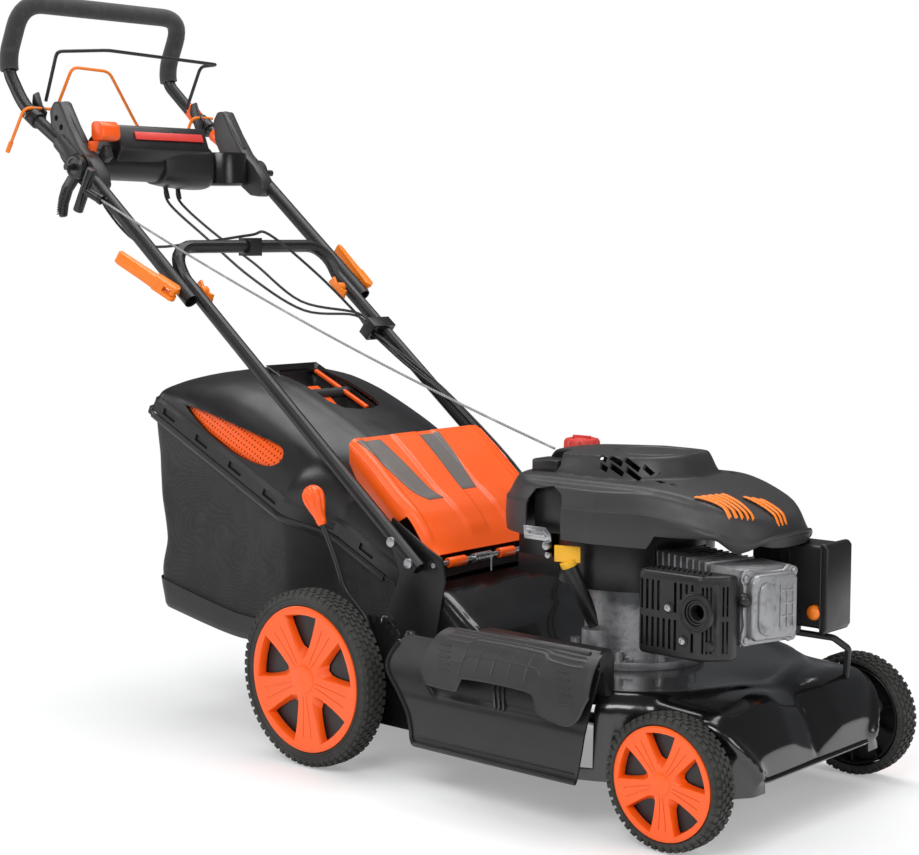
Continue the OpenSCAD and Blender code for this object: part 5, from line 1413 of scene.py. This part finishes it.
def on_flap(side, t, lift, drop=0.0):
    """A place on the flap, lifted square to it and lowered, in millimetres."""
    back, z = flap_side(t)
    return place(back - 0.62 * lift, side * (1 - 0.025 * t), z + 0.78 * lift - drop)


def ridge(side, t):
    """Raised fields of the flap, in millimetres: its middle band and its rounded flanks."""
    rise = 0.0
    for low, high in ((-57, -9), (40, 132), (-152, -142)):
        pinch = 9 * (1 - t)
        rise = max(rise, ease((side - low + pinch) / 6) * ease((high + pinch - side) / 6))
    return 3.4 * rise * ease((0.86 - t) / 0.14) * ease((t + 0.02) / 0.05)


def flap_skin(u, v):
    """The flap's skin: a bulge below its hinge, and side edges that droop."""
    side = -162 + 324 * u
    nose = ease((v - 0.5) / 0.3) * ease((1.02 - v) / 0.2)
    lift = ridge(side, v) + 5 * nose * (1 - (side / 165) ** 4)
    return on_flap(side, v, lift, 9.75 * max(0, (abs(side) - 146) / 16) ** 2)


def flap():
    """The flap's skin, its two side lobes and three hinge knuckles."""
    skin = shell_of(110, 60, flap_skin, 0.003)
    ring = [(694, 498), (694, 464), (672, 430), (640, 390), (608, 375), (585, 380), (568, 390), (575, 401), (600, 420),
            (650, 464)]
    lobes = [slab(ring, side * 161, side * 158, 0.001) for side in (-1, 1)]
    knuckles = []
    for low, high in ((100, 140), (-18, 18), (-140, -100)):
        wall = [(0.0042, low * mm), (0.0078, low * mm), (0.0078, high * mm), (0.0042, high * mm)]
        knuckles.append(turned(wall, place(500, 0, 322), "Y", 32))
    return joined([skin] + lobes + [rounded(k, 0.0006) for k in knuckles])


settle(flap(), "orange_flap", "back_flap", "orange_plastic", ["rear_flap"], angle=40)


def panel(top, low, start, end):
    """A thin plate that lies in a field of the flap."""
    def lay(u, v):
        t = start + (end - start) * v
        a = top[0] + (low[0] - top[0]) * v
        b = top[1] + (low[1] - top[1]) * v
        side = a + (b - a) * u
        return on_flap(side, t, min(1, 14 * u, 14 * (1 - u), 14 * v, 14 * (1 - v)) + ridge(side, t))
    return shell_of(30, 34, lay, 0.0015, 0)


plates = joined([panel((-152, -96), (-97, -62), 0.03, 0.42), panel((-5, 43), (-5, 31), 0.03, 0.34)])
settle(plates, "flap_plates", "back_flap", "charcoal_plastic",
       mat=moulded("plate_grey", (104, 98, 94), 0.4, 1400, 0.00005))


# ---- Deck, pressed from one sheet ----

def deck_gap(b, y):
    """Distance outside the deck's plan outline (negative inside), in millimetres."""
    ring = math.hypot(b - CRANK, y) - 272

    def oblong(low, high, half, r):
        dx = max(low + r - b, b - high + r)
        dy = abs(y) - half + r
        return math.hypot(max(dx, 0), max(dy, 0)) + min(max(dx, dy), 0) - r
    return min(ring, oblong(-84, 300, 206, 58), oblong(200, 640, 221, 26))


DECK_RAMP = [(340, 188), (356, 194), (440, 243), (505, 286), (522, 290), (548, 276), (606, 208), (615, 196)]


def deck_height(b, y):
    """Height of the deck's skin at a place, in millimetres."""
    gap = deck_gap(b, y)
    if gap > 0:
        return 52
    side = abs(y)
    top = 190.0
    front = ease((100 - b) / 130)
    top += front * (9 * math.sin(math.pi * min(1, side / 190)) ** 1.5 - 6)
    top -= 16 * ease((-8 - b) / 60) * max(0, 1 - side / 64) ** 0.8
    top -= 9 * max(0, 1 - side / 7) * ease((-40 - b) / 12)
    top -= 20 * ease((-28 - b) / 46) + 38 * ease((-52 - b) / 34)
    spread = math.hypot(b - CRANK, y)
    top += 5 * ease((262 - spread) / 10) * ease((spread - 226) / 12) * ease((250 - b) / 60)
    if side < 168 and b > 340:
        slope = through(DECK_RAMP, b)
        shoulder = 16 - math.sqrt(max(0, 256 - max(0, side - 152) ** 2))
        top = max(top, slope - shoulder * ease((slope - 190) / 20))
    if side < 160 and b > 607:
        top = 190
    radius = 26
    if gap > -radius:
        top -= radius - math.sqrt(max(0, radius ** 2 - (radius + gap) ** 2))
    return top


def deck():
    """The deck's skin: a field of heights, smoothed, cut off at its rim, hollowed and opened."""
    shell = begin("grid", x_subdivisions=190, y_subdivisions=144, size=1)
    edit(shell)
    bpy.ops.mesh.extrude_region_move(TRANSFORM_OT_translate={"value": (0, 0, 1)})
    leave()
    for vertex in shell.data.vertices:
        b, y = 276 - 744 * vertex.co.x, 560 * vertex.co.y
        vertex.co = place(b, y, deck_height(b, y) if vertex.co.z > 0.5 else 50)
    tidy(shell)
    ridge_line = [(-18, 202, 168), (-42, 198, 160), (-62, 187, 142), (-76, 168, 118), (-83, 150, 92)]
    ridges = [rod([place(b, side * y, z) for b, y, z in ridge_line], 0.010, 16, True) for side in (-1, 1)]
    shell = joined([shell] + ridges)
    modify(shell, "REMESH", mode="VOXEL", voxel_size=0.0046)
    modify(shell, "SMOOTH", factor=0.6, iterations=7)
    edit(shell)
    bpy.ops.mesh.bisect(plane_co=(0, 0, 0.0706), plane_no=(0, 0, 1), clear_inner=True)
    leave()
    modify(shell, "DECIMATE", ratio=0.45)
    modify(shell, "SOLIDIFY", thickness=0.0025, offset=-1)
    tools = [drum(place(CRANK, 0, 150), place(CRANK, 0, 220), 0.062, 48),
             block(place(370, -290, 88), place(130, -120, 178)),
             block(place(-32, -140, 50), place(-110, 140, 86)),
             block(place(660, -162, 100), place(600, 162, 190))]
    tools += [pin(0, 95, side * 225, side * 300, 0.099, 48) for side in (-1, 1)]
    return cut(shell, tools)


settle(deck(), "deck_pressing", "chassis", SLOT_OF["deck_shell"], ["deck_shell"], angle=42)
lip = rod([place(-83.5 + 26 * ease((abs(y) - 128) / 60), y, 87) for y in range(-160, 161, 8)], 0.0032, 8)
settle(lip, "deck_lip", "chassis", SLOT_OF["deck_shell"])


# ---- Side chute and its flap ----

CHUTE_LINE = [(0.0, -263.5, 234), (0.12, -269, 222), (0.34, -284.5, 190), (0.52, -291, 160), (0.74, -294.5, 118),
              (0.93, -296, 88), (1.0, -299, 79)]
CHUTE_REAR = [(0, 466), (0.14, 484), (0.3, 494), (0.42, 488), (0.55, 466), (0.68, 445), (0.8, 436), (0.92, 433),
              (1, 430)]
CHUTE_FRONT = [(0, 108), (0.3, 106), (0.6, 112), (1, 122)]


def chute_skin(u, v):
    """The chute's skin, from its rear end forward and from its top down; the rear end runs in like an S."""
    y, z = through_both(CHUTE_LINE, v)
    rear, front = through(CHUTE_REAR, v), through(CHUTE_FRONT, v)
    b = rear + (front - rear) * u
    bow = math.sin(math.pi * u) ** 0.7
    dish = 5 * ease((v - 0.2) / 0.15) * ease((0.56 - v) / 0.06) * ease((u - 0.2) / 0.03) * ease((0.92 - u) / 0.04)
    ledge = 2.4 * ease((v - 0.56) / 0.03)
    return place(b, y - 1.0 * bow * v + dish - 0.4 * ledge, z)


def chute():
    """The chute with a welt down its rear end and along its foot, a bead and three ribs."""
    skin = shell_of(90, 60, chute_skin, 0.0032)
    down = [chute_skin(0.004, v / 30) for v in range(4, 30)]
    foot = [chute_skin(u / 30, 0.985) for u in range(0, 31)]
    bend = flowing(down[-6:-1] + [down[-1].lerp(foot[1], 0.4)] + foot[1:5], 3)
    welt = rod(down[:-6] + bend + foot[5:], 0.0036, 10)
    bead = rod([chute_skin(0.03 + 0.95 * u / 30, 0.90) for u in range(31)], 0.0013, 8)
    ribs = []
    for b in (266, 258, 250):
        line = [chute_skin((455 - b) / 349, v) + Vector((0, -0.001, 0)) for v in (0.24, 0.34, 0.44, 0.535)]
        ribs.append(rod(line, 0.0017, 8))
    return joined([skin, welt, bead] + ribs)


settle(chute(), "chute_shell", "chassis", "black_plastic", ["side_chute"], angle=40)


LEAF_LINE = [(0, -258, 254.5), (0.14, -268, 252), (0.3, -281, 244), (0.5, -293, 228), (0.75, -302.5, 202),
             (1, -308, 176)]
LEAF_FOOT = [(0, 0.80), (0.05, 0.97), (0.20, 1.0), (0.245, 0.99), (0.262, 0.82), (0.6, 0.80), (0.70, 0.80),
             (0.735, 0.98), (0.80, 1.02), (0.9, 1.0), (0.965, 0.86), (1, 0.6)]


def chute_leaf(u, v, lift=0.0):
    """The side flap's skin, from its rear end forward and from its hinge over the shoulder to its lower edge."""
    rear, front = 389 + 20 * v, 108 - 6 * v
    b = rear + (front - rear) * u
    y, z = through_both(LEAF_LINE, v * through(LEAF_FOOT, u))
    z -= 17 * v * ease((u - 0.55) / 0.4)
    groove = 0.0
    for at in (0.16, 0.24, 0.33):
        groove = max(groove, 1 - abs(v - at) / 0.022)
    grid = 0.0
    if 0.16 < u < 0.72 and 0.38 < v < 0.88:
        for at in (0.24, 0.34, 0.44, 0.54, 0.64):
            grid = max(grid, 1 - abs(u - at) / 0.006)
        grid = max(grid, 1 - abs(v - 0.62) / 0.02)
    lift += 1.5 * max(0, groove) * ease((u - 0.06) / 0.03) * ease((0.95 - u) / 0.03) + 0.9 * max(0, grid)
    return place(b, y - lift * 0.75 - 0.8 * math.sin(math.pi * u), z + lift * 0.6 + 0.8 * math.sin(math.pi * u))


def side_leaf():
    """The side flap with its fine bars, the bead along its lower edge and its hinge barrel."""
    leaf_skin = shell_of(240, 76, chute_leaf, 0.0028)
    bars = []
    for k in range(5):
        for base in (0.055, 0.80):
            line = [chute_leaf(base + 0.012 * k + 0.075 * t / 4, 0.42 + 0.085 * k, 0.6) for t in range(5)]
            bars.append(rod(line, 0.0009, 6))
    edge = rod([chute_leaf(u / 90, 0.985, -1.2) for u in range(91)], 0.0017, 8)
    barrel = drum(place(372, -261, 252.5), place(126, -261, 252.5), 0.0042, 24)
    return joined([leaf_skin, edge, barrel] + bars)


settle(side_leaf(), "chute_leaf", "chute_flap", SLOT_OF["side_flap"], ["side_flap"], angle=38)


# ---- Console, grips and levers on the tilting head ----

HUB = (1308.87, 949)


def console_end(side):
    """Moulded end of the console over one grip tube."""
    low, high = (180, 209) if side > 0 else (-209, -180)
    shell = slab([(1404, 1052), (1392, 1068), (1374, 1068), (1346, 1024), (1316, 984), (1288, 962), (1266, 936),
                  (1262, 916), (1276, 902), (1300, 905), (1338, 930), (1374, 966), (1400, 1012)], low, high, 0.004)
    ridge = slab([(1396, 1058), (1376, 1070), (1350, 1034), (1322, 994), (1330, 984), (1362, 1012), (1386, 1040)],
                 side * 190 - 7, side * 190 + 7, 0.003)
    holes = []
    for b, z, long in ((1376, 1030, 14), (1352, 988, 12), (1294, 926, 9)):
        a, c = place(b - 0.5 * long, side * 176, z - 0.6 * long), place(b + 0.5 * long, side * 176, z + 0.6 * long)
        way = Vector((0, side * 0.05, 0))
        out = Vector((0, side * 0.026, 0))
        holes.append(drum(a + out, a + way, 0.0055, 20))
        holes.append(drum(c + out, c + way, 0.0055, 20))
    cut(shell, holes)
    return joined([shell, ridge])


def console_body():
    """Left side carries the slim control tube, right side the rounded pod."""
    def tube_skin(u, v):
        turn = 2 * math.pi * v
        c, s = math.cos(turn), math.sin(turn)
        r = 28 + 3 * u
        return place(1346 + 1.05 * r * c, -178 + 190 * u, 956 + r * s * (1.0 if s > 0 else 0.96))
    tube = formed(24, 48, tube_skin)

    def pod_skin(u, v):
        turn = 2 * math.pi * v
        swell = math.sin(math.pi * min(1, 0.10 + 0.9 * u) * 0.5) ** 0.6 * (1 - 0.12 * ease((u - 0.9) / 0.1))
        c, s = math.cos(turn), math.sin(turn)
        k = (abs(c) ** 3.2 + abs(s) ** 3.2) ** (-1 / 3.2)
        return place(1346 - 4 * swell + (30 + 15 * swell) * k * c, -16 + 108 * u, 956 + (28 + 14 * swell) * k * s)
    pod = formed(40, 64, pod_skin)
    edit(pod, "EDGE", lambda e: e.is_boundary)
    bpy.ops.mesh.edge_face_add()
    leave()
    rounded(pod, 0.004, 3, 50)
    hood = slab([(1318, 1028), (1300, 985), (1316, 960), (1374, 960), (1392, 972), (1380, 1022), (1362, 1028)],
                -128, 84, 0.005)
    label = slab([(1313, 1016), (1301, 986), (1306, 984), (1319, 1014)], -92, 72, 0.001)
    return joined([tube, pod, hood, label])


settle(joined([console_end(-1), console_end(1)]), "console_ends", "control_head", "charcoal_plastic", angle=40)
settle(console_body(), "console_body", "control_head", "black_plastic", ["console"], angle=40)
band = slab([(1312.2, 1016), (1306.3, 1002), (1303.9, 1002.8), (1309.8, 1016.8)], -90, 70, 0.0003)
settle(band, "console_band", "control_head", "red_plastic")


def cup():
    """Cup holder: a drum with a floor, and the two webs that carry it."""
    wall = turned([(0.041, 0.0), (0.0445, 0.0), (0.0460, -0.004), (0.0458, -0.058), (0.0425, -0.0615),
                   (0.0001, -0.0615), (0.0001, -0.0590), (0.0395, -0.0585), (0.041, -0.054)],
                  place(1330, 138, 985), "Z", 72)
    web = slab([(1352, 972), (1330, 978), (1316, 972), (1316, 938), (1350, 934)], 88, 104, 0.002)
    arm = slab([(1366, 978), (1340, 982), (1336, 940), (1362, 936)], 176, 186, 0.002)
    return joined([wall, web, arm])


settle(cup(), "cup_holder_ring", "control_head", "black_plastic",
       mat=moulded("gloss_moulding", (24, 23, 24), 0.2, pale=6))
clip = joined([slab([(1322, 968), (1310, 990), (1300, 988), (1296, 968), (1308, 958)], -164, -150, 0.002),
               pin(1308, 972, -166, -148, 0.009, 24)])
settle(rounded(clip, 0.0006), "console_clip", "control_head", "charcoal_plastic")


def bent(line, joints, limit, steps):
    """A line with soft elbows: the joint's reach in millimetres, and the share of its neighbours it may take."""
    out = [line[0]]
    for a, b, c, joint in zip(line, line[1:], line[2:], joints):
        reach = min(joint * mm, (b - a).length * limit, (c - b).length * limit)
        if reach < mm:
            out.append(b)
            continue
        p, q = b + (a - b).normalized() * reach, b + (c - b).normalized() * reach
        out += [p.lerp(b, t / steps).lerp(b.lerp(q, t / steps), t / steps) for t in range(steps + 1)]
    return out + [line[-1]]


def arch(points, radius, joint=9):
    """A bent bar through (back, side, z) points."""
    return rod(bent([place(*p) for p in points], [joint] * len(points), 0.45, 4), radius, 16)


def on_tilt(back, side, rise):
    """A place on the control head, seen from the hub that it tilts on."""
    return place(HUB[0] + back, side, HUB[1] + rise)


GRIP_HALF = [(18, 204.8, 10), (40, 204.8, 31), (171, 204.8, 109), (240, 190, 180), (240, 190, 215), (196, 190, 305)]
GRIP_LINE = bent([on_tilt(b, -y, z) for b, y, z in GRIP_HALF] + [on_tilt(b, y, z) for b, y, z in reversed(GRIP_HALF)],
                 [0, 60, 40, 40, 72, 72, 40, 40, 60, 0], 0.48, 8)
start = min(range(len(GRIP_LINE)), key=lambda i: (GRIP_LINE[i] - on_tilt(240, -190, 186)).length)
foam_line = GRIP_LINE[start:len(GRIP_LINE) - start]
settle(rod(GRIP_LINE, 0.0119, 28), "grip_tube", "control_head", "frame_paint", ["grip_bar"])
sleeve = rounded(rod(foam_line, 0.0172, 32), 0.0022, 2, 60)
settle(sleeve, "foam_sleeve", "control_head", "foam", ["foam_grip"])
BRAKE = [(1468, -168, 1075), (1402, -190, 1159), (1402, -75, 1169), (1402, 192, 1160), (1449, 190, 1159),
         (1468, 168, 1075)]
settle(arch(BRAKE, 0.0033, 12), "brake_bar", "stop_bail", SLOT_OF["brake_bail"], ["brake_bail"])
DRIVE = [(1506, -228, 981), (1451, -228, 1059), (1451, -158, 1059), (1400, -158, 1133), (1400, -75, 1130),
         (1440, 20, 1038), (1475, 100, 990), (1490, 168, 985), (1451, 168, 1059), (1451, 220, 1059)]
tip = arch([(1506, -228, 981), (1494, -228, 998)], 0.0042)
settle(joined([arch(DRIVE, 0.0029, 14), tip]), "drive_bar", "travel_bail", SLOT_OF["drive_bail"], ["drive_bail"])


def throttle_cap():
    """Throttle thumb piece and the tongue below it."""
    cap = slab([(1322, 1027), (1316, 1032), (1298, 1031), (1288, 1024), (1286, 1003), (1293, 997), (1314, 996),
                (1322, 1002)], -180, -139, 0.005)
    tongue = slab([(1318, 996), (1302, 996), (1310, 976), (1316, 974)], -190, -176, 0.0015)
    return joined([cap, tongue])


stem = slab([(1336, 982), (1324, 990), (1300, 1006), (1306, 1018), (1330, 1002), (1342, 990)], -177, -168, 0.0015)
settle(stem, "throttle_stem", BODY_OF["throttle_lever"], "black_plastic", ["throttle_lever"])
settle(throttle_cap(), "throttle_cap", BODY_OF["throttle_lever"], "orange_plastic")


def tilt_knob():
    """Round pivot boss and the ribbed, curved lever that locks the head's tilt."""
    boss = turned([(0.0001, -0.0005), (0.021, -0.0005), (0.0225, -0.003), (0.0225, -0.013), (0.019, -0.0165),
                   (0.0145, -0.0170), (0.0135, -0.0150), (0.0001, -0.0150)], place(HUB[0], -214, HUB[1]), "Y", 64)
    ring = [(1316, 938), (1328, 934), (1346, 916), (1356, 896), (1360, 874), (1354, 860), (1343, 862), (1338, 884),
            (1326, 906), (1306, 924), (1300, 936)]
    lever = slab(ring, -229, -217, 0.003)
    ribs = []
    for k in range(12):
        t = k / 11
        b, z = 1352 - 14 * t ** 2 + 2, 868 + 46 * t
        half = 8.5 - 1.5 * abs(2 * t - 1)
        ribs.append(drum(place(b - half + 3 - 6 * t, -230.2, z), place(b + half - 3 - 6 * t, -230.2, z - 2), 0.0011, 8))
    return joined([boss, lever] + ribs)


settle(tilt_knob(), "tilt_knob", BODY_OF["tilt_lever"], SLOT_OF["tilt_lever"], ["tilt_lever"])
sleeve_mid = drum(on_tilt(118, 204.8, 77.5), on_tilt(60, 204.8, 43), 0.0141, 40)
settle(rounded(sleeve_mid, 0.001), "tube_sleeve", "control_head", "orange_plastic")


PEAR = [(0, 6.2), (0.08, 8.0), (0.2, 9.0), (0.4, 13.5), (0.62, 17.6), (0.8, 17.4), (0.92, 12.5), (0.98, 6.5),
        (1, 0.3)]


def pear_knob():
    """Fluted pear-shaped knob on the height lever."""
    tip_at, foot = place(697, -246, 437), place(670, -245, 376)
    way = (tip_at - foot).normalized()
    length = (tip_at - foot).length
    side = way.cross(Vector((0, 1, 0))).normalized()
    across = way.cross(side)

    def skin(u, v):
        turn, t = 2 * math.pi * u, v
        r = through(PEAR, t)
        flute = 1 - 0.17 * (0.5 + 0.5 * math.cos(8 * turn)) ** 3 * math.sin(math.pi * min(1, max(0, (t - 0.2) / 0.8)))
        return foot + way * length * t + (side * math.cos(turn) + across * math.sin(turn)) * r * flute * mm
    return formed(96, 40, skin)


settle(pear_knob(), "height_knob", BODY_OF["height_lever"], "orange_plastic", angle=50)
LEVER = [(568, -243, 192), (574, -243, 238), (624, -243, 279), (641, -244, 324), (671, -245, 380)]
plate = slab([(560, 214), (560, 182), (572, 176), (584, 182), (584, 214), (578, 222), (566, 222)], -247, -240, 0.0012)
settle(joined([arch(LEVER, 0.0042, 14), plate]), "height_bar", BODY_OF["height_lever"], "frame_paint", ["height_lever"])


def bail_bracket(side):
    """Cheek plate, joining block, collar and bolt that carry the two bails on one grip tube."""
    cheek = slab([(1477, 1086), (1462, 1090), (1452, 1066), (1438, 1052), (1446, 1036), (1462, 1030), (1470, 1050),
                  (1480, 1070)], side * 188.5 - 2.5, side * 188.5 + 2.5, 0.0016)
    bridge = slab([(1466, 1064), (1450, 1056), (1446, 1040), (1462, 1036), (1470, 1050)],
                  side * 196 - 9, side * 196 + 9, 0.002)
    collar = rounded(drum(place(1440, side * 204.8, 1034.5), place(1470, side * 204.8, 1054), 0.0158, 36), 0.0014)
    ear = slab([(1466, 1056), (1456, 1056), (1454, 1040), (1466, 1040)], side * 219 - 1.6, side * 219 + 1.6, 0.0012)
    return joined([cheek, bridge, collar, ear])


cheeks = joined([bail_bracket(-1), bail_bracket(1)])
settle(cheeks, "bail_cheeks", "control_head", SLOT_OF["bail_brackets"], ["bail_brackets"])
bolts = [rounded(pin(1461, 1047, s * 219, s * 224, 0.0058, 6), 0.0008) for s in (-1, 1)]
settle(joined(bolts), "bail_bolts", "control_head", "steel")
sleeve_far = drum(place(1478, 204.8, 1059), place(1500, 203, 1080), 0.0141, 40)
sleeve_near = drum(on_tilt(22, -204.8, 13), on_tilt(66, -204.8, 48), 0.0168, 40)
settle(rounded(sleeve_near, 0.0016), "grip_collar", "control_head", "charcoal_plastic")
settle(rounded(sleeve_far, 0.001), "grip_band", "control_head", "orange_plastic")

bpy.ops.object.select_all(action="DESELECT")
